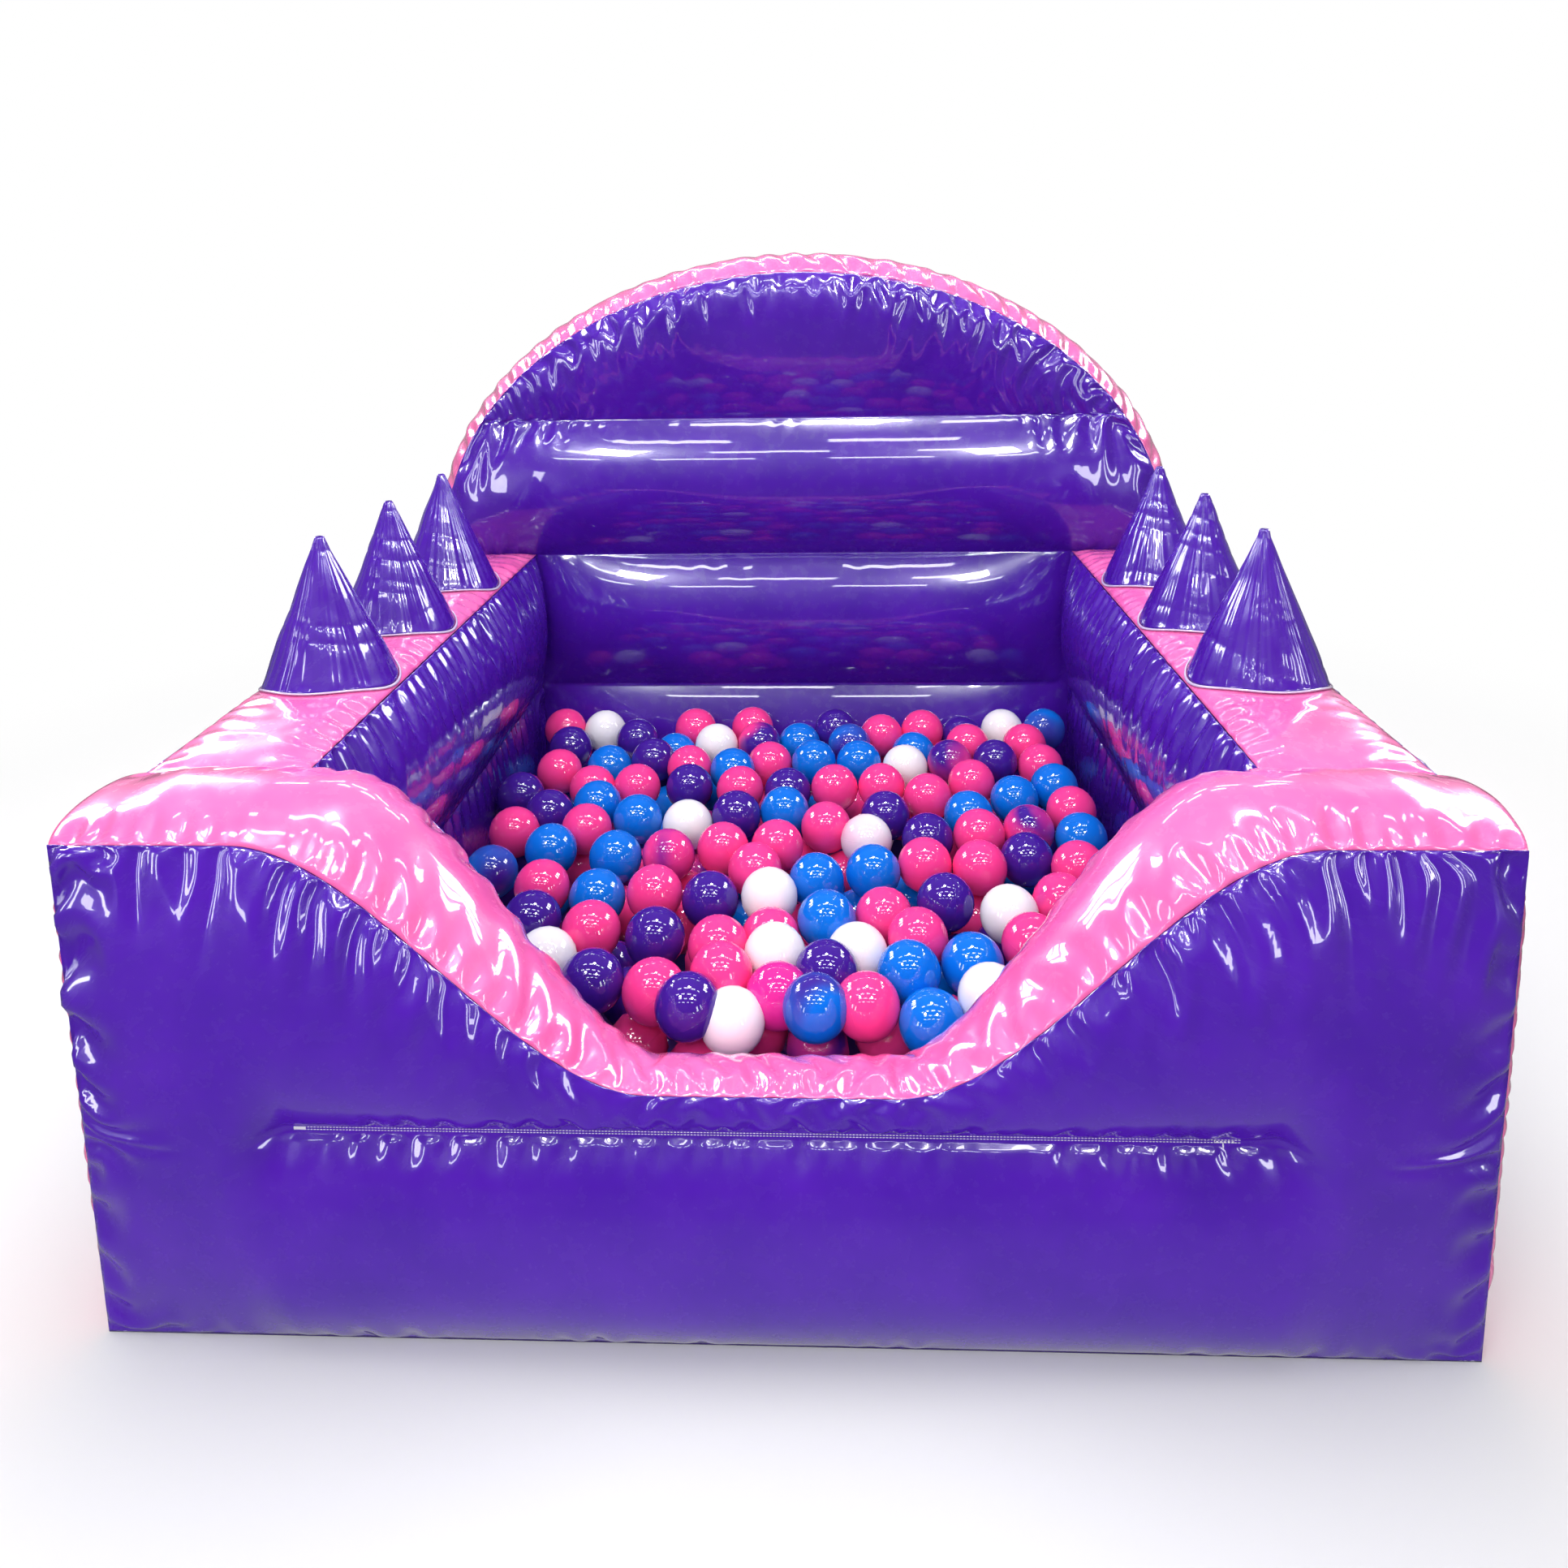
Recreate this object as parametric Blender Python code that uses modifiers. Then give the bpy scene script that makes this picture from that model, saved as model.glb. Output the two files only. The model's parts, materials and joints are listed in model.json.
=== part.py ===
"""An inflatable ball pit with an arched back wall, kept up by a blower.

Four walls of sewn PVC sheet stand round a square pool on a base sheet. The front wall dips in
the middle for climbing in, each side wall carries three air cones, and the pool holds a bed of
play balls, of which some of the top ones are loose pieces. +X is the right of someone who looks
at the front wall, +Y points to the back wall, and the origin is under the middle of the whole.
"""

import math

import bmesh
import bpy
from mathutils import Matrix, Vector

# Plan, from seam to seam.
width = 1.50
depth = 1.50
front_thick = 0.18
side_thick = 0.195
back_thick = 0.22

# Heights above the base sheet, and how far one seam lies under another.
wall_height = 0.583
dip_depth = 0.281
dip_rear_drop = 0.100
front_seam_drop = 0.043
front_seam_rear_drop = 0.055
roll_height = 0.300
arch_rise = 0.577
arch_seam_rise = 0.283

# Half widths of the entry dip and of the sewn seam under it.
dip_flat_half = 0.13
dip_slope_width = 0.43
dip_rear_slope_width = 0.37
front_seam_half = 0.50
front_seam_fade = 0.06

# The sheet and the room between two pieces that touch.
sheet_thick = 0.0009
base_thick = 0.0012
gap = 0.0003
weld_distance = 0.00001

# How far the air swells each panel out of its seams.
front_swell = 0.045
front_low_swell = 0.038
front_inner_swell = 0.020
band_crown = 0.035
side_roll_swell = 0.045
side_low_swell = 0.012
side_outer_swell = 0.032
side_crown = 0.020
back_roll_swell = 0.060
back_end_swell = 0.050
rear_swell = 0.040
corner_fade = 0.10

# Air cones on the side walls, at shares of the pool's length.
cone_radius = 0.0925
cone_tip_radius = 0.011
cone_height = 0.220
cone_seat = 0.0025
welt_radius = 0.0025
cone_port_radius = 0.055
cone_shares = [0.272, 0.509, 0.746]

# Air ways inside the walls, and the sleeve that the blower feeds, as high as the ports.
port_radius = 0.055
vent_radius = 0.030
tie_end_room = 0.060
inlet_radius = 0.050
inlet_reach = 0.070
inlet_inside = 0.030
inlet_x = 0.42
inlet_patch_width = 0.030

# Zip across the rear panel, for letting the air out.
zip_length = 0.300
zip_tape_width = 0.032
zip_tape_thick = 0.0012
zip_teeth_width = 0.006
zip_teeth_thick = 0.0024
zip_stop_length = 0.005
zip_slider_length = 0.014
zip_slider_width = 0.012
zip_slider_height = 0.0075
zip_slider_wall = 0.0015
zip_pull_length = 0.034
zip_pull_width = 0.009
zip_pull_thick = 0.0016
zip_pull_nose = 0.0012
zip_pin_radius = 0.0012
zip_lug_length = 0.007
zip_lug_height = 0.006
zip_lug_thick = 0.0018

# Play balls. The bed's top lies this far under the side walls' inner seam.
ball_diameter = 0.085
bed_drop = 0.025
bed_room = 0.004
bed_pitch_room = 0.0025
bed_valley = 0.034

# Loose balls: name, place as shares of the half width and of the length of the pool, colour.
loose_ball_shares = [
    ("ball_01", -0.655, 0.745, "blue"),
    ("ball_02", -0.105, 0.760, "pink"),
    ("ball_03", 0.356, 0.746, "white"),
    ("ball_04", -0.780, 0.566, "violet"),
    ("ball_05", -0.334, 0.530, "white"),
    ("ball_06", 0.091, 0.523, "pink"),
    ("ball_07", 0.392, 0.486, "violet"),
    ("ball_08", -0.528, 0.313, "blue"),
    ("ball_09", -0.219, 0.308, "violet"),
    ("ball_10", 0.066, 0.361, "blue"),
    ("ball_11", 0.573, 0.276, "white"),
    ("ball_12", -0.176, 0.196, "pink"),
    ("ball_13", 0.172, 0.181, "white"),
    ("ball_14", 0.451, 0.160, "blue"),
    ("ball_15", -0.309, 0.100, "pink"),
    ("ball_16", -0.016, 0.094, "magenta"),
    ("ball_17", 0.190, 0.075, "pink"),
]

# Cells along and across each panel, and the shares of a panel at which its seams lie.
front_columns, front_rows = 24, 8
inner_rows = 6
shoulder_columns, dip_columns, band_rows = 15, 10, 4
side_columns, side_rows = 12, 8
side_band_columns, side_band_rows = 14, 6
arch_columns = 16
roll_rows, crown_rows = 4, 7
arch_band_columns = 30
round_sides, vent_sides = 24, 12
bump_columns = 2
flank_share = 0.125
front_end_share = 0.125
arch_end_share = 0.2
middle_share = 0.5

# Heights and planes that follow from the sizes above.
base_top = base_thick + gap
port_height = (base_top + roll_height) / 2
arch_seam_height = wall_height + arch_seam_rise
dip_height = wall_height - dip_depth
dip_rear_height = dip_height - dip_rear_drop
front_seam_height = dip_height - front_seam_drop
front_seam_rear_height = dip_rear_height - front_seam_rear_drop
bed_height = roll_height - bed_drop
half_width = width / 2
pit_half = half_width - side_thick
cone_x = half_width - side_thick / 2
seam_room = sheet_thick + gap
ball_radius = ball_diameter / 2
arch_rows = 3 * roll_rows + crown_rows


def smooth(low, high, value):
    """An even S from 0 at low to 1 at high."""
    share = min(max((value - low) / (high - low), 0), 1)
    return share * share * (3 - 2 * share)


def mix(start, end, share):
    return start + (end - start) * share


def along(stops, share):
    """The place at a share of the way along straight stretches between (share, place) stops."""
    for (low, start), (high, end) in zip(stops, stops[1:]):
        if share <= high:
            break
    return mix(start, end, (share - low) / (high - low))


def swell(share, power=2):
    """A swelling that is 0 at shares 0 and 1 and full halfway."""
    return 1 - abs(2 * min(max(share, 0), 1) - 1) ** power


def front_height(x):
    """Seam between the front panel and the edge band."""
    slope_end = dip_flat_half + dip_slope_width
    return mix(dip_height, wall_height, smooth(dip_flat_half, slope_end, abs(x)))


def inner_height(x):
    """Seam between the front wall's inner panel and the edge band."""
    slope_end = dip_flat_half + dip_rear_slope_width
    return mix(dip_rear_height, wall_height, smooth(dip_flat_half, slope_end, abs(x)))


def held_swelling(x, z, top, seam, low_swell, full_swell):
    """How far a front wall panel stands out: the seam across its middle holds it in."""
    held = 1 - smooth(front_seam_half, front_seam_half + front_seam_fade, abs(x))
    whole = full_swell * swell((z - base_top) / (top - base_top))
    low = low_swell * swell((z - base_top) / (seam - base_top))
    high = full_swell * (top - seam) / (wall_height - seam) * swell((z - seam) / (top - seam))
    return mix(whole, low if z <= seam else high, held)


def front_panel_out(across, up):
    """Place of the front panel across, up and out of its seam plane."""
    x = mix(-half_width, half_width, across)
    top = front_height(x)
    z = along([(0, base_top), (middle_share, front_seam_height), (1, top)], up)
    out = held_swelling(x, z, top, front_seam_height, front_low_swell, front_swell)
    return x, z, out * swell(across, 8)


# The origin is under the middle of everything, so the front seam's plane follows from the reach.
front_reach = max(
    front_panel_out(column / front_columns, row / front_rows)[2]
    for column in range(front_columns + 1)
    for row in range(front_rows + 1)
)
rear_reach = max(rear_swell, inlet_reach)
front_y = (front_reach - rear_reach - depth) / 2
pit_front_y = front_y + front_thick
rear_y = front_y + depth
back_y = rear_y - back_thick
pit_length = back_y - pit_front_y
cone_ys = [mix(pit_front_y, back_y, share) for share in cone_shares]


def arch_half(z):
    """Half the back wall's width at a height."""
    rise = min(max((z - wall_height) / arch_rise, 0), 1)
    return half_width * math.sqrt(1 - rise * rise)


def side_top(x, y):
    """The crowned top of a side wall, where the air cones stand."""
    across = min(abs(abs(x) - cone_x) / (side_thick / 2), 1)
    return wall_height + side_crown * (1 - across**4) * swell((y - pit_front_y) / pit_length, 8)


def lowest_roll_y(x, z):
    """The outside of the rear panel under its lowest seam."""
    fade = 1 - min(abs(x) / half_width, 1) ** 6
    return rear_y + rear_swell * swell((z - base_top) / (roll_height - base_top)) * fade


def linear(value):
    """An sRGB channel, from 0 to 255, as a linear one."""
    share = value / 255
    return share / 12.92 if share <= 0.04045 else ((share + 0.055) / 1.055) ** 2.4


# Each finish: sRGB colour, roughness and metallic value.
finishes = {
    "purple_pvc": ((75, 30, 165), 0.22, 0.0),
    "pink_pvc": ((255, 110, 180), 0.24, 0.0),
    "base_pvc": ((52, 24, 110), 0.45, 0.0),
    "tie_pvc": ((235, 235, 238), 0.50, 0.0),
    "zip_cloth": ((40, 22, 88), 0.80, 0.0),
    "zip_metal": ((170, 172, 176), 0.30, 1.0),
    "ball_pink": ((248, 60, 135), 0.18, 0.0),
    "ball_magenta": ((226, 44, 150), 0.18, 0.0),
    "ball_blue": ((10, 110, 215), 0.18, 0.0),
    "ball_violet": ((84, 42, 160), 0.18, 0.0),
    "ball_white": ((245, 242, 246), 0.18, 0.0),
}

for old in list(bpy.data.objects):
    bpy.data.objects.remove(old, do_unlink=True)

pit = bpy.data.collections.new("ball_pit")
cutters = bpy.data.collections.new("cutters")
bpy.context.scene.collection.children.link(pit)
bpy.context.scene.collection.children.link(cutters)


def material_for(node, finish):
    colour, roughness, metallic = finishes[finish]
    material = bpy.data.materials.new(f"{node}_{finish}")
    material.use_nodes = True
    shader = material.node_tree.nodes["Principled BSDF"]
    shader.inputs["Base Color"].default_value = (*[linear(part) for part in colour], 1)
    shader.inputs["Roughness"].default_value = roughness
    shader.inputs["Metallic"].default_value = metallic
    return material


def add_piece(name, work, finish, origin=(0, 0, 0)):
    """Turn a bmesh into a named piece of the pit, in its own material."""
    mesh = bpy.data.meshes.new(name)
    work.to_mesh(mesh)
    work.free()
    mesh.materials.append(material_for(name, finish))
    piece = bpy.data.objects.new(name, mesh)
    piece.location = origin
    pit.objects.link(piece)
    return piece


def add_cutter(name, work, origin=(0, 0, 0)):
    mesh = bpy.data.meshes.new(name)
    work.to_mesh(mesh)
    work.free()
    cutter = bpy.data.objects.new(name, mesh)
    cutter.location = origin
    cutter.hide_render = True
    cutter.display_type = "WIRE"
    cutters.objects.link(cutter)
    return cutter


def combine(piece, other, operation="DIFFERENCE"):
    boolean = piece.modifiers.new(other.name, "BOOLEAN")
    boolean.operation = operation
    boolean.solver = "EXACT"
    boolean.object = other


def give_thickness(piece):
    """Make an open surface a sheet whose outside it is."""
    wall = piece.modifiers.new("sheet", "SOLIDIFY")
    wall.thickness = sheet_thick
    wall.offset = -1


def unit_share(part):
    """Where a part of a unit shape, which runs from -1 to 1, lies between 0 and 1."""
    return min(max((part + 1) / 2, 0), 1)


def add_panel(name, finish, columns, rows, place, facing):
    """A sewn panel: a grid laid out by place(across, up), with its outside towards facing."""
    work = bmesh.new()
    bmesh.ops.create_grid(work, x_segments=columns, y_segments=rows, size=1)
    for corner in work.verts:
        across, up = unit_share(corner.co.x), unit_share(corner.co.y)
        corner.co = place(across, up)
    bmesh.ops.remove_doubles(work, verts=work.verts, dist=weld_distance)
    work.normal_update()
    outward = sum((face.normal * face.calc_area() for face in work.faces), Vector())
    if outward.dot(Vector(facing)) < 0:
        bmesh.ops.reverse_faces(work, faces=work.faces)
    panel = add_piece(name, work, finish)
    give_thickness(panel)
    panel.data.shade_smooth()
    return panel


def box_between(low, high):
    """A box between two opposite corners."""
    work = bmesh.new()
    bmesh.ops.create_cube(work, size=2)
    for corner in work.verts:
        shares = [unit_share(part) for part in corner.co]
        corner.co = [mix(start, end, share) for start, end, share in zip(low, high, shares)]
    return work


def bores(name, places, axis, radius, length, sides=vent_sides):
    """A cutter of round bores through each place, along the y or z axis."""
    work = bmesh.new()
    turn = Matrix.Rotation(math.pi / 2 if axis == "y" else 0, 4, "X")
    for place in places:
        bmesh.ops.create_cone(
            work,
            cap_ends=True,
            segments=sides,
            radius1=radius,
            radius2=radius,
            depth=length,
            matrix=Matrix.Translation(place) @ turn,
        )
    return add_cutter(name, work)


# Base sheet, on which all the walls are sewn and the balls lie.
base = box_between((-half_width, front_y, 0), (half_width, rear_y, base_thick))
add_piece("base_sheet", base, "base_pvc")


# Front wall: front panel, inner panel, four strips of edge band over the top and ends, and a tie.
def front_panel_place(across, up):
    x, z, out = front_panel_out(across, up)
    return Vector((x, front_y - out, z))


def flanked(across, low_share, half):
    """Columns that are closer together in the two flanks outside half than between them."""
    stops = [(0, -1), (flank_share, -low_share), (1 - flank_share, low_share), (1, 1)]
    return half * along(stops, across)


def front_inner_place(across, up):
    x = flanked(across, pit_half / half_width, half_width)
    top = inner_height(x)
    z = along([(0, base_top), (middle_share, front_seam_rear_height), (1, top)], up)
    inset = max(1 - abs(x / pit_half) ** 6, 0)
    swelling = front_inner_swell
    out = held_swelling(x, z, top, front_seam_rear_height, swelling, swelling)
    return Vector((x, pit_front_y + out * inset, z))


def band_place(path, start_y, thick, start=0, end=1):
    """A strip of band between two panels, over a stretch of the path of the seams beside it."""

    def place(across, over):
        before, behind, outward, fade = path(mix(start, end, across))
        spot = before.lerp(behind, over) + outward * (band_crown * fade * swell(over))
        return Vector((spot.x, start_y + mix(seam_room, thick - seam_room, over), spot.z))

    return place


def band_end(across, end_share):
    """The upright stretch of a band at an end of its wall."""
    side = -1 if across < end_share else 1
    up = (across if side < 0 else 1 - across) / end_share
    spot = Vector((side * half_width, 0, mix(base_top, wall_height, up)))
    return spot, Vector((side, 0, 0)), smooth(0, corner_fade, spot.z - base_top)


def front_band_path(across):
    corner = min(abs(across - front_end_share), abs(across - 1 + front_end_share))
    fade = smooth(0, corner_fade, corner * (2 * wall_height + width))
    if across < front_end_share or across > 1 - front_end_share:
        spot, outward, foot = band_end(across, front_end_share)
        return spot, spot, outward, fade * foot
    share = (across - front_end_share) / (1 - 2 * front_end_share)
    x = mix(-half_width, half_width, share)
    slope = (front_height(x + gap) - front_height(x - gap)) / (2 * gap)
    outward = Vector((-slope, 0, 1)).normalized()
    return Vector((x, 0, front_height(x))), Vector((x, 0, inner_height(x))), outward, fade


add_panel(
    "front_wall_outer_panel",
    "purple_pvc",
    front_columns,
    front_rows,
    front_panel_place,
    (0, -1, 0),
)
front_inner = add_panel(
    "front_wall_inner_panel", "purple_pvc", front_columns, inner_rows, front_inner_place, (0, 1, 0)
)
# The strips meet at the lowest point of the dip and where its slopes turn from hollow to crowned.
turn_share = (half_width - dip_flat_half - dip_slope_width / 2) / width
strip_share = mix(front_end_share, 1 - front_end_share, turn_share)
strip_gap_share = gap * (1 - 2 * front_end_share) / width
band_strips = [
    ("left_shoulder", shoulder_columns, 0, strip_share, (-1, 0, 1)),
    ("left_dip", dip_columns, strip_share, middle_share, (0, 0, 1)),
    ("right_dip", dip_columns, middle_share, 1 - strip_share, (0, 0, 1)),
    ("right_shoulder", shoulder_columns, 1 - strip_share, 1, (1, 0, 1)),
]
for label, columns, start, end, facing in band_strips:
    strip = band_place(
        front_band_path,
        front_y,
        front_thick,
        start + strip_gap_share * (start > 0),
        end - strip_gap_share * (end < 1),
    )
    add_panel(f"front_wall_{label}_band", "pink_pvc", columns, band_rows, strip, facing)
port_places = [
    (side * cone_x, wall_y, port_height) for side in (-1, 1) for wall_y in (pit_front_y, back_y)
]
ports = bores("air_ports", port_places, "y", port_radius, front_thick / 2)
combine(front_inner, ports)


def tie_place(half, low_y, high_y, low_z, high_z):
    """A flat sheet inside a wall, from its outer seam to its inner one."""

    def place(across, through):
        x = mix(-half, half, across)
        return Vector((x, mix(low_y, high_y, through), mix(low_z, high_z, through)))

    return place


def add_tie(name, columns, place, vent_places):
    """A tie sheet inside a wall, with vents that let the air through."""
    tie = add_panel(name, "tie_pvc", columns, 1, place, (0, 0, 1))
    combine(tie, bores(f"{name}_vents", vent_places, "z", vent_radius, roll_height / 2))


front_tie = tie_place(
    front_seam_half,
    front_y + seam_room,
    pit_front_y - seam_room,
    front_seam_height,
    front_seam_rear_height,
)
front_vents = [
    (number * front_seam_half / 2, front_y + front_thick / 2, front_seam_rear_height)
    for number in (-1, 0, 1)
]
add_tie("front_wall_tie_sheet", 8, front_tie, front_vents)


# Side walls: inner and outer panels, crowned top band with the air cones, and a tie inside.
def side_panel_place(x, side, low_swell, high_swell):
    """A panel along a side wall, held in by a seam at the roll's height."""

    def place(across, up):
        y = mix(pit_front_y + gap, back_y - gap, across)
        z = along([(0, base_top), (middle_share, roll_height), (1, wall_height)], up)
        low, high = low_swell * swell(up / middle_share), high_swell * swell(2 * up - 1)
        out = low if up <= middle_share else high
        return Vector((x + side * out * swell(across, 8), y, z))

    return place


def side_band_place(side):
    def place(across, over):
        x = side * mix(pit_half + seam_room, half_width - seam_room, over)
        y = mix(pit_front_y + gap, back_y - gap, across)
        return Vector((x, y, side_top(x, y)))

    return place


def side_tie_place(side):
    def place(across, through):
        x = side * mix(pit_half + seam_room, half_width - seam_room, through)
        y = mix(pit_front_y + tie_end_room, back_y - tie_end_room, across)
        return Vector((x, y, roll_height))

    return place


for side, label in ((-1, "left"), (1, "right")):
    add_panel(
        f"{label}_wall_inner_panel",
        "purple_pvc",
        side_columns,
        side_rows,
        side_panel_place(side * pit_half, -side, side_low_swell, side_roll_swell),
        (-side, 0, 0),
    )
    add_panel(
        f"{label}_wall_outer_panel",
        "purple_pvc",
        side_columns,
        side_rows,
        side_panel_place(side * half_width, side, side_outer_swell, side_outer_swell),
        (side, 0, 0),
    )
    top_band = add_panel(
        f"{label}_wall_top_band",
        "pink_pvc",
        side_band_columns,
        side_band_rows,
        side_band_place(side),
        (0, 0, 1),
    )
    holes = [(side * cone_x, y, wall_height) for y in cone_ys]
    combine(top_band, bores(f"{label}_cone_ports", holes, "z", cone_port_radius, roll_height / 2))
    vents = [(side * cone_x, y, roll_height) for y in cone_ys]
    add_tie(f"{label}_wall_tie_sheet", 6, side_tie_place(side), vents)


# Back wall: arched front and rear panels, edge band and three ties inside.
def arch_level(row):
    """Heights of the rows: even up to the arch seam, then by angle to the crown."""
    seams = [base_top, roll_height, wall_height, arch_seam_height]
    if row <= 3 * roll_rows:
        return along([(number * roll_rows, z) for number, z in enumerate(seams)], row)
    seam_angle = math.asin(min(arch_seam_rise / arch_rise, 1))
    angle = mix(seam_angle, math.pi / 2, (row - 3 * roll_rows) / crown_rows)
    return wall_height + arch_rise * math.sin(angle)


def arch_place(plane_y, side, swellings, low_half):
    """An arched panel of four rolls. Under the side walls' tops it swells inside low_half only."""

    def place(across, up):
        row = up * arch_rows
        z = arch_level(row)
        half = arch_half(z)
        x = flanked(across, min(low_half / half_width, 1 - flank_share), half)
        number = min(int(row / roll_rows), 3)
        rows = crown_rows if number == 3 else roll_rows
        reach = low_half if number < 2 else max(half, gap)
        fade = max(1 - abs(x / reach) ** 6, 0)
        out = swellings[number] * swell((row - number * roll_rows) / rows) * fade
        return Vector((x, plane_y + side * out, z))

    return place


def arch_band_path(across):
    if across < arch_end_share or across > 1 - arch_end_share:
        spot, outward, foot = band_end(across, arch_end_share)
        return spot, spot, outward, foot
    turn = math.pi * (1 - (across - arch_end_share) / (1 - 2 * arch_end_share))
    spot = Vector((half_width * math.cos(turn), 0, wall_height + arch_rise * math.sin(turn)))
    outward = Vector((math.cos(turn) / half_width, 0, math.sin(turn) / arch_rise)).normalized()
    return spot, spot, outward, 1


front_swells = (back_end_swell, back_roll_swell, back_roll_swell, back_end_swell)
back_front = add_panel(
    "back_wall_front_panel",
    "purple_pvc",
    arch_columns,
    arch_rows,
    arch_place(back_y, -1, front_swells, pit_half),
    (0, -1, 0),
)
combine(back_front, ports)
back_rear = add_panel(
    "back_wall_rear_panel",
    "purple_pvc",
    arch_columns,
    arch_rows,
    arch_place(rear_y, 1, [rear_swell] * 4, half_width),
    (0, 1, 0),
)
add_panel(
    "back_wall_edge_band",
    "pink_pvc",
    arch_band_columns,
    band_rows,
    band_place(arch_band_path, back_y, back_thick),
    (0, 0, 1),
)
for label, height in (("low", roll_height), ("middle", wall_height), ("high", arch_seam_height)):
    half = arch_half(height) - tie_end_room
    tie = tie_place(half, back_y + seam_room, rear_y - seam_room, height, height)
    vents = [(number * half / 2, rear_y - back_thick / 2, height) for number in (-1, 0, 1)]
    add_tie(f"back_wall_tie_sheet_{label}", 6, tie, vents)


# Air cones: each follows the crown of its side wall, and is open at the base and at the tip.
def add_cone(name, place_x, place_y):
    work = bmesh.new()
    bmesh.ops.create_cone(
        work,
        cap_ends=False,
        segments=round_sides,
        radius1=cone_radius,
        radius2=cone_tip_radius,
        depth=cone_height,
    )
    for corner in work.verts:
        at_foot = corner.co.z < 0
        seat = side_top(place_x + corner.co.x, place_y + corner.co.y) - wall_height
        corner.co.z = seat + cone_seat if at_foot else cone_height
    cone = add_piece(name, work, "purple_pvc", (place_x, place_y, wall_height))
    give_thickness(cone)
    cone.data.shade_smooth()


def add_welt(name, place_x, place_y):
    """The thin corded seam round the foot of a cone."""
    cord = bpy.data.curves.new(name, "CURVE")
    cord.dimensions = "3D"
    cord.bevel_depth = welt_radius
    cord.bevel_resolution = 0
    line = cord.splines.new("POLY")
    line.points.add(round_sides - 1)
    reach = cone_radius + welt_radius + 2 * gap
    for number, point in enumerate(line.points):
        turn = 2 * math.pi * number / round_sides
        x, y = reach * math.cos(turn), reach * math.sin(turn)
        seat = side_top(place_x + x, place_y + y) - wall_height
        point.co = (x, y, seat + welt_radius + cone_seat, 1)
    line.use_cyclic_u = True
    cord.materials.append(material_for(name, "tie_pvc"))
    welt = bpy.data.objects.new(name, cord)
    welt.location = (place_x, place_y, wall_height)
    pit.objects.link(welt)


for side, label in ((-1, "left"), (1, "right")):
    for number, y in enumerate(cone_ys):
        add_cone(f"{label}_air_cone_{number + 1}", side * cone_x, y)
        add_welt(f"{label}_cone_welt_{number + 1}", side * cone_x, y)

# Blower inlet: a short round sleeve through the rear panel, and the patch sewn round it.
inlet_z = port_height
inlet_bore = inlet_radius + 2 * gap
combine(
    back_rear,
    bores("inlet_bore", [(inlet_x, rear_y, inlet_z)], "y", inlet_bore, back_thick, round_sides),
)
work = bmesh.new()
bmesh.ops.create_cone(
    work,
    cap_ends=False,
    segments=round_sides,
    radius1=inlet_radius,
    radius2=inlet_radius,
    depth=inlet_reach + inlet_inside,
)
inlet_middle = (inlet_x, rear_y + (inlet_reach - inlet_inside) / 2, inlet_z)
inlet = add_piece("blower_inlet_sleeve", work, "purple_pvc", inlet_middle)
inlet.rotation_euler.x = math.pi / 2
give_thickness(inlet)
inlet.data.shade_smooth()


def patch_place(across, out):
    turn = 2 * math.pi * across
    reach = mix(inlet_bore + gap, inlet_bore + inlet_patch_width, out)
    x, z = inlet_x + reach * math.cos(turn), inlet_z + reach * math.sin(turn)
    return Vector((x, lowest_roll_y(x, z) + 2 * gap + sheet_thick, z))


add_panel("blower_inlet_patch", "purple_pvc", round_sides, 1, patch_place, (0, 1, 0))

# Zip: tape, teeth and end stops on the crest of the rear panel's second roll.
zip_z = (roll_height + wall_height) / 2
zip_half = zip_length / 2
tape_y = rear_y + rear_swell + gap
teeth_y = tape_y + zip_tape_thick + gap
teeth_top = teeth_y + zip_teeth_thick
half_tape, half_teeth = zip_tape_width / 2, zip_teeth_width / 2
tape_low = (-zip_half, tape_y, zip_z - half_tape)
tape_high = (zip_half, tape_y + zip_tape_thick, zip_z + half_tape)
add_piece("zip_tape", box_between(tape_low, tape_high), "zip_cloth")
teeth_low = (-zip_half, teeth_y, zip_z - half_teeth)
teeth_high = (zip_half, teeth_top, zip_z + half_teeth)
add_piece("zip_teeth", box_between(teeth_low, teeth_high), "zip_metal")
for label, stop_x in (("left", -zip_half), ("right", zip_half - zip_stop_length)):
    low = (stop_x, teeth_top + gap, zip_z - half_teeth)
    high = (stop_x + zip_stop_length, teeth_top + zip_teeth_thick, zip_z + half_teeth)
    add_piece(f"zip_end_stop_{label}", box_between(low, high), "zip_metal")

# Slider: a block that rides over the teeth, with a lug whose eye takes the pull's pin.
slider_x = -zip_half + zip_stop_length + gap + zip_slider_length / 2
slider_top = teeth_y + zip_slider_height
pin = Vector((slider_x, slider_top + zip_lug_height / 2, zip_z))
half_length, half_slider = zip_slider_length / 2, zip_slider_width / 2
body = box_between(
    (-half_length, teeth_y - pin.y, -half_slider), (half_length, slider_top - pin.y, half_slider)
)
slider = add_piece("zip_slider", body, "zip_metal", pin)
lug = box_between(
    (-zip_lug_length / 2, slider_top - zip_slider_wall - pin.y, -zip_lug_thick / 2),
    (zip_lug_length / 2, zip_lug_height / 2, zip_lug_thick / 2),
)
combine(slider, add_cutter("slider_lug", lug, pin), "UNION")
groove_half = half_slider - zip_slider_wall
groove = box_between(
    (-zip_slider_length, teeth_y - gap - pin.y, -groove_half),
    (zip_slider_length, teeth_top + gap - pin.y, groove_half),
)
combine(slider, add_cutter("slider_groove", groove, pin))
combine(slider, bores("lug_eye", [pin], "z", zip_pin_radius + gap, zip_slider_width))

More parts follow.
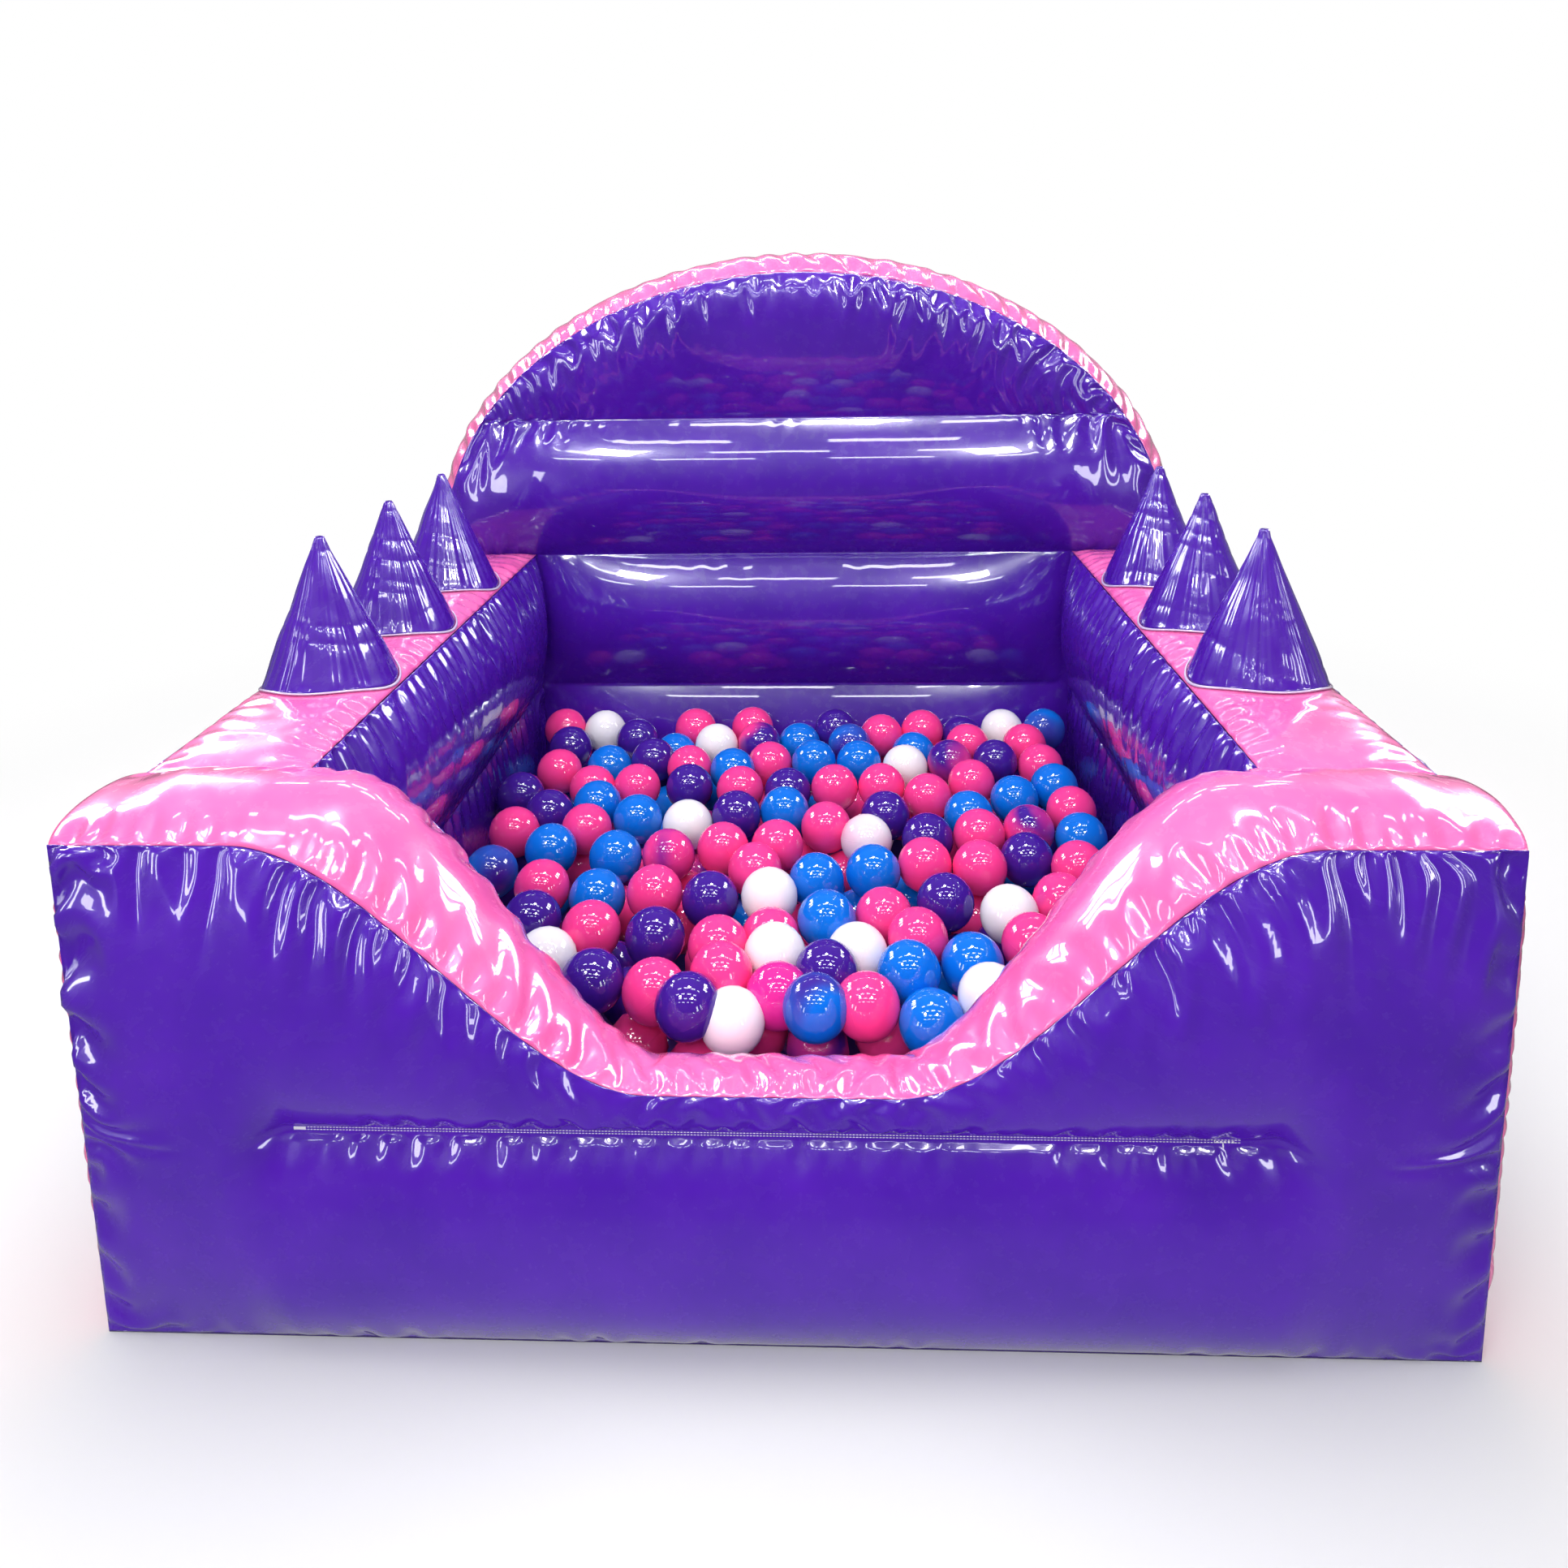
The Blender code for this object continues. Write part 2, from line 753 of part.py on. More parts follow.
# Pull: a flat tab with a fork round the lug and a pin through it, its origin on the pin.
tab = box_between(
    (-zip_pull_length, -zip_pull_thick / 2, -zip_pull_width / 2),
    (zip_pull_nose, zip_pull_thick / 2, zip_pull_width / 2),
)
pull = add_piece("zip_pull", tab, "zip_metal", pin)
slot_half = zip_lug_thick / 2 + gap
slot = box_between(
    (-zip_lug_length, -zip_lug_height, -slot_half), (zip_lug_length, zip_lug_height, slot_half)
)
combine(pull, add_cutter("pull_slot", slot, pin))
pin_length = zip_pull_width - zip_pull_thick
combine(pull, bores("pull_pin", [pin], "z", zip_pin_radius, pin_length), "UNION")


# Settled balls: one solid with a bump for each top ball, and a socket under each loose one.
def ball_centre(across, length):
    place_y = mix(pit_front_y, back_y, length)
    return Vector((across * pit_half, place_y, bed_height - ball_radius))


def from_nearest(distance, pitch):
    """How far a place lies from the nearest ball of a row."""
    return distance - round(distance / pitch) * pitch


bed_half = pit_half - side_low_swell - bed_room
bed_front = pit_front_y + front_inner_swell + bed_room
bed_rear = back_y - back_end_swell - bed_room
bed_pitch = ball_diameter + bed_pitch_room
balls_across = int(2 * bed_half / bed_pitch)
balls_along = int((bed_rear - bed_front) / bed_pitch)
across_pitch = 2 * bed_half / balls_across
along_pitch = (bed_rear - bed_front) / balls_along
work = bmesh.new()
bmesh.ops.create_grid(
    work, x_segments=balls_across * bump_columns, y_segments=balls_along * bump_columns, size=1
)
for corner in work.verts:
    x = mix(-bed_half, bed_half, unit_share(corner.co.x))
    y = mix(bed_front, bed_rear, unit_share(corner.co.y))
    off_x = from_nearest(x + bed_half, across_pitch)
    off_y = from_nearest(y - bed_front, along_pitch)
    drop = ball_radius - math.sqrt(max(ball_radius**2 - off_x**2 - off_y**2, 0))
    corner.co = Vector((x, y, bed_height - min(drop, bed_valley)))
rim = [edge for edge in work.edges if edge.is_boundary]
skirt = bmesh.ops.extrude_edge_only(work, edges=rim)["geom"]
for corner in [item for item in skirt if isinstance(item, bmesh.types.BMVert)]:
    corner.co.z = base_top
foot = [item for item in skirt if isinstance(item, bmesh.types.BMEdge) and item.is_boundary]
bmesh.ops.contextual_create(work, geom=foot)
bmesh.ops.recalc_face_normals(work, faces=work.faces)
bmesh.ops.triangulate(work, faces=work.faces)
bed = add_piece("settled_ball_bed", work, "ball_violet")


def add_socket(name, centre):
    """A cutter: the lower half of a ball with a straight shaft above it, to lift the ball out."""
    work = bmesh.new()
    bmesh.ops.create_icosphere(work, subdivisions=2, radius=ball_radius + 2 * gap)
    upper = [corner for corner in work.verts if corner.co.z > gap]
    bmesh.ops.delete(work, geom=upper, context="VERTS")
    rim = [edge for edge in work.edges if edge.is_boundary]
    shaft = bmesh.ops.extrude_edge_only(work, edges=rim)["geom"]
    for corner in [item for item in shaft if isinstance(item, bmesh.types.BMVert)]:
        corner.co.z = ball_diameter
    mouth = [edge for edge in work.edges if edge.is_boundary]
    bmesh.ops.contextual_create(work, geom=mouth)
    bmesh.ops.recalc_face_normals(work, faces=work.faces)
    return add_cutter(f"{name}_socket", work, centre)


for name, across, length, colour in loose_ball_shares:
    centre = ball_centre(across, length)
    combine(bed, add_socket(name, centre))
    work = bmesh.new()
    bmesh.ops.create_icosphere(work, subdivisions=2, radius=ball_radius)
    ball = add_piece(name, work, f"ball_{colour}", centre)
    ball.data.shade_smooth()
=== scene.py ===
import json
import math

import bmesh
import bpy
import numpy as np
from mathutils import Matrix, Vector


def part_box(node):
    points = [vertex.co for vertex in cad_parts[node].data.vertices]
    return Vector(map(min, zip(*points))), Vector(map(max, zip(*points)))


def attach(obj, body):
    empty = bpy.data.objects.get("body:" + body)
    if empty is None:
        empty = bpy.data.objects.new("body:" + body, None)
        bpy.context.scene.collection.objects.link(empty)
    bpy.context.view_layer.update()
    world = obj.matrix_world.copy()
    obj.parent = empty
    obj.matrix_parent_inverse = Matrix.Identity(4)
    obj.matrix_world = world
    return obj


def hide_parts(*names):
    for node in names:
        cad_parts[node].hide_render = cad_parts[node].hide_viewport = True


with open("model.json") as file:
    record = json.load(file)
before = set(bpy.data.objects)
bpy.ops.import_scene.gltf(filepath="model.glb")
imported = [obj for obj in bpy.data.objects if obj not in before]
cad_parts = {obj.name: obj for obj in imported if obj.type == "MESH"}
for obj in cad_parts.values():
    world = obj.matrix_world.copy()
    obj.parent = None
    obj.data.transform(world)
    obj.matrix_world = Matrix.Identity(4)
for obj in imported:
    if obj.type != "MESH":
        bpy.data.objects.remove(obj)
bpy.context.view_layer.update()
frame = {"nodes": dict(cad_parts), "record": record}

# Camera: it stands in front of the entry wall, a little over a metre up, and looks slightly
# down over the pool. The picture is square, and its axis lies above the middle.
image_side = 1932
focal_pixels = 1455.75
axis_pixel = (966, 581.45)
sensor_width = 36
camera_side = 0.0726
camera_distance = 1.1126
camera_height = 1.1555
camera_yaw = -0.04434
camera_pitch = 0.16630
camera_roll = -0.01742

front_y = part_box("base_sheet")[0].y
rear_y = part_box("base_sheet")[1].y
half_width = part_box("base_sheet")[1].x

camera_place = Vector((camera_side, front_y - camera_distance, camera_height))
looking = Vector((
    math.sin(camera_yaw) * math.cos(camera_pitch),
    math.cos(camera_yaw) * math.cos(camera_pitch),
    -math.sin(camera_pitch),
))


def show(name, data):
    """Put an object with this data in the scene."""
    shown = bpy.data.objects.new(name, data)
    bpy.context.scene.collection.objects.link(shown)
    return shown


lens = bpy.data.cameras.new("camera")
lens.sensor_width = sensor_width
lens.lens = sensor_width * focal_pixels / image_side
lens.shift_y = (axis_pixel[1] - image_side / 2) / image_side
camera = show("camera", lens)
camera.matrix_world = (
    Matrix.Translation(camera_place)
    @ looking.to_track_quat("-Z", "Y").to_matrix().to_4x4()
    @ Matrix.Rotation(camera_roll, 4, "Z")
)
bpy.context.scene.camera = camera
bpy.context.scene.view_settings.view_transform = "Standard"


def seen_at(pixel, height):
    """Where the ray through a pixel of the photograph meets a level plane."""
    across = (pixel[0] - axis_pixel[0]) / focal_pixels
    up = (axis_pixel[1] - pixel[1]) / focal_pixels
    ray = camera.matrix_world.to_3x3() @ Vector((across, up, -1))
    return camera_place + ray * ((height - camera_place.z) / ray.z)


# Studio: a pale floor that fades into a white backdrop, and large soft lamps. Lit panels on the
# ceiling, at the sides and on stands, and small lamps over the pool, show only in gloss and draw
# its glints. Gloss sees the backdrop darker, as it would with black flags beside the camera.
white = (1, 1, 1, 1)
floor_grey, floor_half, floor_drop = 0.80, 6.0, 0.0005
fade_start, fade_end = 1.3, 2.6
backdrop_level, fill_level = 1.0, 0.60
mirrored_near, mirrored_far = 0.85, 1.55
mirrored_near_level, mirrored_far_level = 0.42, 0.12
dim_heading, bright_heading = -0.6, 0.7
dim_side_level, bright_side_level = 0.06, 0.28


def give(tree, node, inputs):
    """Give a node's inputs values, or link them to sockets."""
    for name, value in inputs.items():
        if isinstance(value, bpy.types.NodeSocket):
            tree.links.new(value, node.inputs[name])
        else:
            node.inputs[name].default_value = value


def add_node(tree, kind, inputs=None, **settings):
    """Add a node with its settings and its inputs' values or links; it gives its outputs."""
    node = tree.nodes.new(kind)
    for name, value in settings.items():
        setattr(node, name, value)
    give(tree, node, inputs or {})
    return node.outputs


def direct_ray(tree):
    """1 for camera, glossy and transmission rays, which see the backdrop itself."""
    path = add_node(tree, "ShaderNodeLightPath")
    seen = add_node(tree, "ShaderNodeMath", {0: path["Is Camera Ray"], 1: path["Is Glossy Ray"]})
    either = add_node(tree, "ShaderNodeMath", {
        0: seen[0], 1: path["Is Transmission Ray"],
    }, use_clamp=True)
    return either[0], path


world = bpy.data.worlds.new("studio")
bpy.context.scene.world = world
floor_material = bpy.data.materials.new("studio_floor")
for staged in (world, floor_material):
    staged.use_nodes = True
    staged.node_tree.nodes.clear()

tree = world.node_tree
direct, path = direct_ray(tree)
heading = add_node(tree, "ShaderNodeSeparateXYZ", {
    0: add_node(tree, "ShaderNodeTexCoord")["Generated"],
})
room = add_node(tree, "ShaderNodeMapRange", {
    "Value": heading["Y"],
    "From Min": dim_heading,
    "From Max": bright_heading,
    "To Min": dim_side_level,
    "To Max": bright_side_level,
})
level = add_node(tree, "ShaderNodeMix", {
    0: path["Is Camera Ray"], 2: room[0], 3: backdrop_level,
})
backdrop, fill = (
    add_node(tree, "ShaderNodeBackground", {"Color": white, "Strength": strength})
    for strength in (level[0], fill_level)
)
shown = add_node(tree, "ShaderNodeMixShader", {
    0: direct, 1: fill[0], 2: backdrop[0],
})
add_node(tree, "ShaderNodeOutputWorld", {"Surface": shown[0]})

tree = floor_material.node_tree
direct, path = direct_ray(tree)
reach = add_node(tree, "ShaderNodeVectorMath", {
    0: add_node(tree, "ShaderNodeTexCoord")["Object"],
}, operation="LENGTH")
fade = add_node(tree, "ShaderNodeMapRange", {
    "Value": reach["Value"], "From Min": fade_start, "From Max": fade_end,
}, interpolation_type="SMOOTHERSTEP")
faded = add_node(tree, "ShaderNodeMath", {0: fade[0], 1: direct}, operation="MULTIPLY")
matt = add_node(tree, "ShaderNodeBsdfDiffuse", {"Color": (floor_grey, floor_grey, floor_grey, 1)})
mirrored = add_node(tree, "ShaderNodeMapRange", {
    "Value": reach["Value"],
    "From Min": mirrored_near,
    "From Max": mirrored_far,
    "To Min": mirrored_near_level,
    "To Max": mirrored_far_level,
})
level = add_node(tree, "ShaderNodeMix", {
    0: path["Is Glossy Ray"], 2: backdrop_level, 3: mirrored[0],
})
glow = add_node(tree, "ShaderNodeEmission", {"Color": white, "Strength": level[0]})
bare = add_node(tree, "ShaderNodeMath", {
    0: faded[0], 1: path["Is Glossy Ray"],
}, operation="MAXIMUM")
shown = add_node(tree, "ShaderNodeMixShader", {
    0: bare[0], 1: matt[0], 2: glow[0],
})
add_node(tree, "ShaderNodeOutputMaterial", {"Surface": shown[0]})

floor_mesh = bpy.data.meshes.new("studio_floor")
work = bmesh.new()
bmesh.ops.create_grid(work, x_segments=1, y_segments=1, size=floor_half)
work.to_mesh(floor_mesh)
work.free()
floor_mesh.materials.append(floor_material)
floor = show("studio_floor", floor_mesh)
floor.location.z = -floor_drop

lamp_target = Vector((0, 0, 0.3))
ceiling, ceiling_brightness = 3.1, 20
ceiling_rows = (-3.1, -2.2, -1.3, -0.3, 2.7, 3.5)
ceiling_start, ceiling_step, ceiling_shift = -1.75, 1.05, 0.45
side_height, side_reach, side_brightness = 2.2, 2.6, 28
side_start, side_step = 0.7, 0.6
spot_brightness = 180
spot_places = ((-0.95, -1.5, 2.5), (0.85, -1.7, 2.5), (0.15, -0.1, 2.8))
stand_height, stand_brightness = 1.05, 15
stand_places = ((-3.1, -1.5), (-2.7, -2.3), (-2.15, -2.9), (2.2, -2.9), (2.8, -2.3), (3.2, -1.5))


def add_lamp(name, place, size, brightness, target=lamp_target, mirrored=True):
    """An area lamp turned to a target: light that only gloss mirrors, or else only soft light."""
    light = bpy.data.lights.new(name, "AREA")
    light.shape = "RECTANGLE"
    light.size, light.size_y = size
    light.energy = brightness * size[0] * size[1] * math.pi
    lamp = show(name, light)
    lamp.location = place
    lamp.rotation_euler = (Vector(target) - Vector(place)).to_track_quat("-Z", "Y").to_euler()
    lamp.visible_glossy = mirrored
    lamp.visible_diffuse = not mirrored


add_lamp("soft_front_lamp", (-0.9, -3.4, 2.4), (2.6, 1.4), 5.0, mirrored=False)
add_lamp("soft_back_lamp", (0.4, 2.2, 3.0), (2.4, 1.4), 3.4, mirrored=False)
add_lamp("soft_top_lamp", (-0.2, -0.2, 3.4), (2.6, 2.6), 3.6, mirrored=False)
for row, y in enumerate(ceiling_rows):
    for number in range(4):
        x = ceiling_start + ceiling_step * number + ceiling_shift * (row % 2)
        name, under_it = f"ceiling_panel_{row}_{number}", (x, y + 0.01, 0)
        add_lamp(name, (x, y, ceiling), (0.60, 0.19), ceiling_brightness, under_it)
for side in (-1, 1):
    for number in range(4):
        place = (side * side_reach, side_start + side_step * number, side_height)
        add_lamp(f"side_panel_{side + 1}_{number}", place, (0.36, 0.80), side_brightness)
for number, place in enumerate(spot_places):
    add_lamp(f"small_lamp_{number}", place, (0.30, 0.30), spot_brightness)
for number, (x, y) in enumerate(stand_places):
    size = (0.20 + 0.12 * (number % 2), 1.5)
    add_lamp(f"standing_panel_{number}", (x, y, stand_height), size, stand_brightness)


# Front wall, front panel: one piece of PVC-coated polyester, sewn to the edge band over its top
# and ends and to the base sheet, and held in by a level row of stitches under the entry dip.
sheet_thick = 0.0009
base_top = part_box("front_wall_outer_panel")[0].z
wall_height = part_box("left_wall_inner_panel")[1].z
front_seam_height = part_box("front_wall_tie_sheet")[1].z
dip_height = front_seam_height + 0.043
dip_flat_half, dip_slope_width = 0.13, 0.43
stitched_half, stitched_fade = 0.52, 0.06
front_swell, front_low_swell = 0.045, 0.038


def linear_colour(code):
    """A hex sRGB colour as linear values."""
    parts = [int(code[start:start + 2], 16) / 255 for start in (1, 3, 5)]
    return (*[p / 12.92 if p <= 0.04045 else ((p + 0.055) / 1.055) ** 2.4 for p in parts], 1)


def mix(start, end, share):
    """The value this share of the way from start to end."""
    return start + (end - start) * share


def smooth(low, high, value):
    """An even S from 0 at low to 1 at high."""
    share = np.clip((value - low) / (high - low), 0, 1)
    return share * share * (3 - 2 * share)


def swell(share, power=2):
    """A swelling that is 0 at shares 0 and 1 and full halfway."""
    return 1 - np.abs(2 * np.clip(share, 0, 1) - 1) ** power


def ripple(across, up, seed):
    """Smooth noise from -1 to 1 over two coordinates that are counted in waves."""
    count = 256
    heights = np.random.default_rng(seed).uniform(-1, 1, (count, count))
    low_x, low_y = np.floor(across).astype(int), np.floor(up).astype(int)
    part_x, part_y = across - low_x, up - low_y
    part_x = part_x * part_x * (3 - 2 * part_x)
    part_y = part_y * part_y * (3 - 2 * part_y)
    x0, x1, y0, y1 = low_x % count, (low_x + 1) % count, low_y % count, (low_y + 1) % count
    low = mix(heights[x0, y0], heights[x1, y0], part_x)
    high = mix(heights[x0, y1], heights[x1, y1], part_x)
    return mix(low, high, part_y)


def crowded(count, stretches=1):
    """Shares from 0 to 1, closer together near the seams at the ends of each stretch."""
    crowding = 0.11
    share = np.linspace(0, 1, count + 1)
    return share - crowding * np.sin(2 * math.pi * stretches * share) / stretches


def lengths(spots, axis):
    """Distance run along a grid of spots, from its first row or column."""
    steps = np.linalg.norm(np.diff(spots, axis=axis), axis=2)
    run = np.cumsum(steps, axis=axis)
    pad = [(0, 0), (0, 0)]
    pad[axis] = (1, 0)
    return np.pad(run, pad)


def outward_of(spots):
    """Normals of a grid of spots: up the rows crossed with along the columns, turned outwards."""
    normal = np.cross(np.gradient(spots, axis=1), np.gradient(spots, axis=0))
    size = np.linalg.norm(normal, axis=2, keepdims=True)
    return normal / np.maximum(size, 1e-9)


def shares(columns, rows):
    """Shares from 0 to 1 across and up a grid of this many columns and rows."""
    return np.meshgrid(np.linspace(0, 1, columns + 1), np.linspace(0, 1, rows + 1))


def grid(x, y, z):
    """Spots from their coordinates."""
    return np.stack([x, y, z], axis=-1)


def push_out(spots, distance):
    """A grid of spots moved along its normals, each by its own distance."""
    return spots + outward_of(spots) * distance[..., None]


def extra(along, away, seed, share, reach, patch=0.11):
    """How much longer the cloth is than the seam beside it, in uneven patches along the seam."""
    least, most_more, sewn_width, fall = 0.30, 1.3, 0.004, 1.4
    uneven = least + most_more * np.abs(ripple(along / patch, away / (3 * reach), seed))
    return share * uneven * (1 - np.exp(-away / sewn_width)) * np.exp(-((away / reach) ** fall))


def free_inside(spots):
    """1 for the spots of a grid that may move, and 0 along its edges, which are sewn down."""
    free = np.zeros(spots.shape[:2])
    free[1:-1, 1:-1] = 1
    return free


def buckle(cut, more_across, more_up, free, seed):
    """Let cloth that is longer than its seams buckle under the air: springs join the spots of a
    grid across, up and along both diagonals, a stiffness resists bending, and free spots move.

    It starts from faint dents square to the seams, which grow into the wrinkles.
    """
    rate, damping, stiffness, air = 0.19, 0.86, 0.016, 1.2e-6
    turns, air_turns = 420, 20
    dent_width, dent_length, dent_height = 0.013, 0.07, 0.03
    run_across, run_up = lengths(cut, 1), lengths(cut, 0)
    dents = more_across * ripple(run_across / dent_width, run_up / dent_length, seed)
    dents = dents + more_up * ripple(run_across / dent_length, run_up / dent_width, seed + 1)
    place = push_out(cut, dent_height * dents * free)
    across = np.diff(cut, axis=1)
    up = np.diff(cut, axis=0)
    across = across * (1 + (more_across[:, 1:] + more_across[:, :-1])[..., None] / 2)
    up = up * (1 + (more_up[1:] + more_up[:-1])[..., None] / 2)
    every, low, high, inner = slice(None), slice(None, -1), slice(1, None), slice(1, -1)
    springs = [
        ((every, low), (every, high), across),
        ((low, every), (high, every), up),
        ((low, low), (high, high), across[:-1] + up[:, 1:]),
        ((low, high), (high, low), up[:, :-1] - across[:-1]),
    ]
    springs = [(a, b, np.linalg.norm(rest, axis=2)) for a, b, rest in springs]
    first, last = slice(None, -2), slice(2, None)
    bends = [
        (a, b, c, cut[a] - 2 * cut[b] + cut[c])
        for a, b, c in (
            ((every, first), (every, inner), (every, last)),
            ((first, every), (inner, every), (last, every)),
        )
    ]
    motion = np.zeros_like(place)
    loose = (free * rate)[..., None]
    for turn in range(turns):
        if turn % air_turns == 0:
            push = air * outward_of(place)
        move = push.copy()
        for a, b, rest in springs:
            gap = place[b] - place[a]
            size = np.sqrt(np.einsum("ijk,ijk->ij", gap, gap))
            pull = gap * (1 - rest / np.maximum(size, 1e-9))[..., None]
            move[a] += pull
            move[b] -= pull
        for a, b, c, rest in bends:
            bent = stiffness * (place[a] - 2 * place[b] + place[c] - rest)
            move[b] += 2 * bent
            move[a] -= bent
            move[c] -= bent
        motion = damping * motion + loose * move
        place += motion
    return place


def lay_sheet(name, spots, material, holes=(), thick=sheet_thick):
    """A sheet through a grid of spots, whose outside faces left of the columns as they run up.

    Its UV map holds the distances run across and up it in metres. Each hole is a centre, a
    radius and the axis that it is bored along.
    """
    hole_depth = 0.12
    rows, columns = spots.shape[0] - 1, spots.shape[1] - 1
    across = lengths(spots, 1)
    across = across - across[:, columns // 2:columns // 2 + 1]
    up = lengths(spots, 0)
    work = bmesh.new()
    bmesh.ops.create_grid(work, x_segments=columns, y_segments=rows, size=1)
    mesh = bpy.data.meshes.new(name)
    work.to_mesh(mesh)
    work.free()
    mesh.vertices.foreach_set("co", spots.reshape(-1).astype(np.float32))
    corners = np.empty(len(mesh.loops), np.int32)
    mesh.loops.foreach_get("vertex_index", corners)
    places = np.stack([across.reshape(-1)[corners], up.reshape(-1)[corners]], axis=1)
    mesh.uv_layers.new(name="cloth")
    mesh.uv_layers[0].data.foreach_set("uv", places.reshape(-1).astype(np.float32))
    work = bmesh.new()
    work.from_mesh(mesh)
    for centre, radius, axis in holes:
        flat = [part for part in range(3) if part != axis]
        near = []
        for corner in work.verts:
            off = Vector([corner.co[part] - centre[part] for part in flat])
            if off.length < radius and abs(corner.co[axis] - centre[axis]) < hole_depth:
                near.append(corner)
        gone = {face for corner in near for face in corner.link_faces}
        inner = {corner for corner in near if all(f in gone for f in corner.link_faces)}
        rim = {corner for face in gone for corner in face.verts} - inner
        bmesh.ops.delete(work, geom=list(inner), context="VERTS")
        for corner in rim:
            off = Vector([corner.co[part] - centre[part] for part in flat])
            off *= radius / off.length
            for part, value in zip(flat, off):
                corner.co[part] = centre[part] + value
    bmesh.ops.remove_doubles(work, verts=work.verts, dist=1e-5)
    bmesh.ops.dissolve_degenerate(work, edges=work.edges, dist=1e-6)
    work.to_mesh(mesh)
    work.free()
    mesh.materials.append(material)
    sheet = show(name, mesh)
    if thick:
        wall = sheet.modifiers.new("sheet", "SOLIDIFY")
        wall.thickness = thick
        wall.offset = -1
        settle(sheet)
    sheet.data.shade_smooth()
    return sheet


def add_sheet(name, surface, material, nodes, slot, sewn_to, cut=None, **shape):
    """Lay a sheet in place of these nodes; cut, its grid of spots before it wrinkled, is not used.
    """
    sheet = lay_sheet(name, surface, material, **shape)
    cut = surface if cut is None else cut
    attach(sheet, "pit")
    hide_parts(*nodes)


def settle(piece):
    """Apply a piece's modifiers to its mesh."""
    depsgraph = bpy.context.evaluated_depsgraph_get()
    mesh = bpy.data.meshes.new_from_object(piece.evaluated_get(depsgraph))
    piece.modifiers.clear()
    piece.data = mesh
    mesh.name = piece.name
    return piece


def new_material(name):
    """A material, its node tree and its shader."""
    material = bpy.data.materials.new(name)
    material.use_nodes = True
    return material, material.node_tree, material.node_tree.nodes["Principled BSDF"]


def coated_pvc(name, colour, deep_colour, roughness=0.24, weave=1.0):
    """Calendered PVC film over a woven polyester scrim: glossy, with the weave just showing.

    The scrim's threads are 1 mm apart and are drawn 2.4 mm apart, so that they show.
    """
    thread_pitch, crinkle_size, cloud_size = 0.0024, 0.011, 0.16
    material, tree, shader = new_material(name)
    metres = add_node(tree, "ShaderNodeUVMap", uv_map="cloth")[0]
    cloud = add_node(tree, "ShaderNodeTexNoise", {
        "Vector": metres, "Scale": 1 / cloud_size, "Detail": 4.0, "Roughness": 0.55,
    })
    shade = add_node(tree, "ShaderNodeMapRange", {
        "Value": cloud[0], "From Min": 0.35, "From Max": 0.70,
    })
    tone = add_node(tree, "ShaderNodeMix", {
        0: shade[0], 6: linear_colour(deep_colour), 7: linear_colour(colour),
    }, data_type="RGBA")
    haze = add_node(tree, "ShaderNodeTexNoise", {
        "Vector": metres, "Scale": 1 / (2.2 * crinkle_size), "Detail": 5.0, "Roughness": 0.6,
    })
    gloss = add_node(tree, "ShaderNodeMapRange", {
        "Value": haze[0],
        "From Min": 0.3,
        "From Max": 0.7,
        "To Min": roughness * 0.75,
        "To Max": roughness * 1.35,
    })
    threads = []
    for direction in ("X", "Y"):
        thread = add_node(tree, "ShaderNodeTexWave", {
            "Vector": metres, "Scale": 1 / (math.pi * thread_pitch), "Distortion": 0.6,
            "Detail": 1.0, "Detail Scale": 0.4,
        }, bands_direction=direction)
        threads.append(thread["Fac"])
    woven = add_node(tree, "ShaderNodeMath", {0: threads[0], 1: threads[1]})
    scrim = add_node(tree, "ShaderNodeBump", {
        "Height": woven[0], "Distance": 0.00001 * weave, "Strength": 0.6,
    })
    crinkle = add_node(tree, "ShaderNodeTexNoise", {
        "Vector": metres, "Scale": 1 / crinkle_size, "Detail": 3.0, "Roughness": 0.5,
    })
    surface = add_node(tree, "ShaderNodeBump", {
        "Height": crinkle[0],
        "Distance": 0.0002,
        "Strength": 0.25,
        "Normal": scrim[0],
    })
    give(tree, shader, {
        "Base Color": tone[2],
        "Roughness": gloss[0],
        "Normal": surface[0],
        "IOR": 1.53,
        "Specular IOR Level": 0.2,
        "Coat Weight": 0.9,
        "Coat Roughness": 0.03,
    })
    return material


purple_pvc = coated_pvc("purple_coated_pvc", "#5217B0", "#4612A2")


def front_height(x):
    """Seam between the front panel and the edge band."""
    end = dip_flat_half + dip_slope_width
    return mix(dip_height, wall_height, smooth(dip_flat_half, end, np.abs(x)))


def held_swelling(x, z, top, seam, low_swell, full_swell):
    """How far a front wall panel stands out: the seam across its middle holds it in."""
    panel_power, roll_power = 3.2, 2.6
    held = 1 - smooth(stitched_half, stitched_half + stitched_fade, np.abs(x))
    whole = full_swell * swell((z - base_top) / (top - base_top), panel_power)
    low = low_swell * swell((z - base_top) / (seam - base_top), roll_power)
    high_swell = full_swell * (top - seam) / (wall_height - seam)
    high = high_swell * swell((z - seam) / (top - seam), roll_power)
    flat_strip = smooth(0.0022, 0.010, np.abs(z - seam))
    return mix(whole, np.where(z <= seam, low, high) * flat_strip, held)


def two_stretches(up, low, middle, high):
    """Heights of rows that run evenly from low to middle and from middle to high."""
    return np.where(up < 0.5, mix(low, middle, 2 * up), mix(middle, high, 2 * up - 1))


def slope_of(seam, x):
    """The sine and cosine of a seam's slope."""
    step = 0.001
    rise = (seam(x + step) - seam(x - step)) / (2 * step)
    size = np.sqrt(1 + rise * rise)
    return rise / size, 1 / size


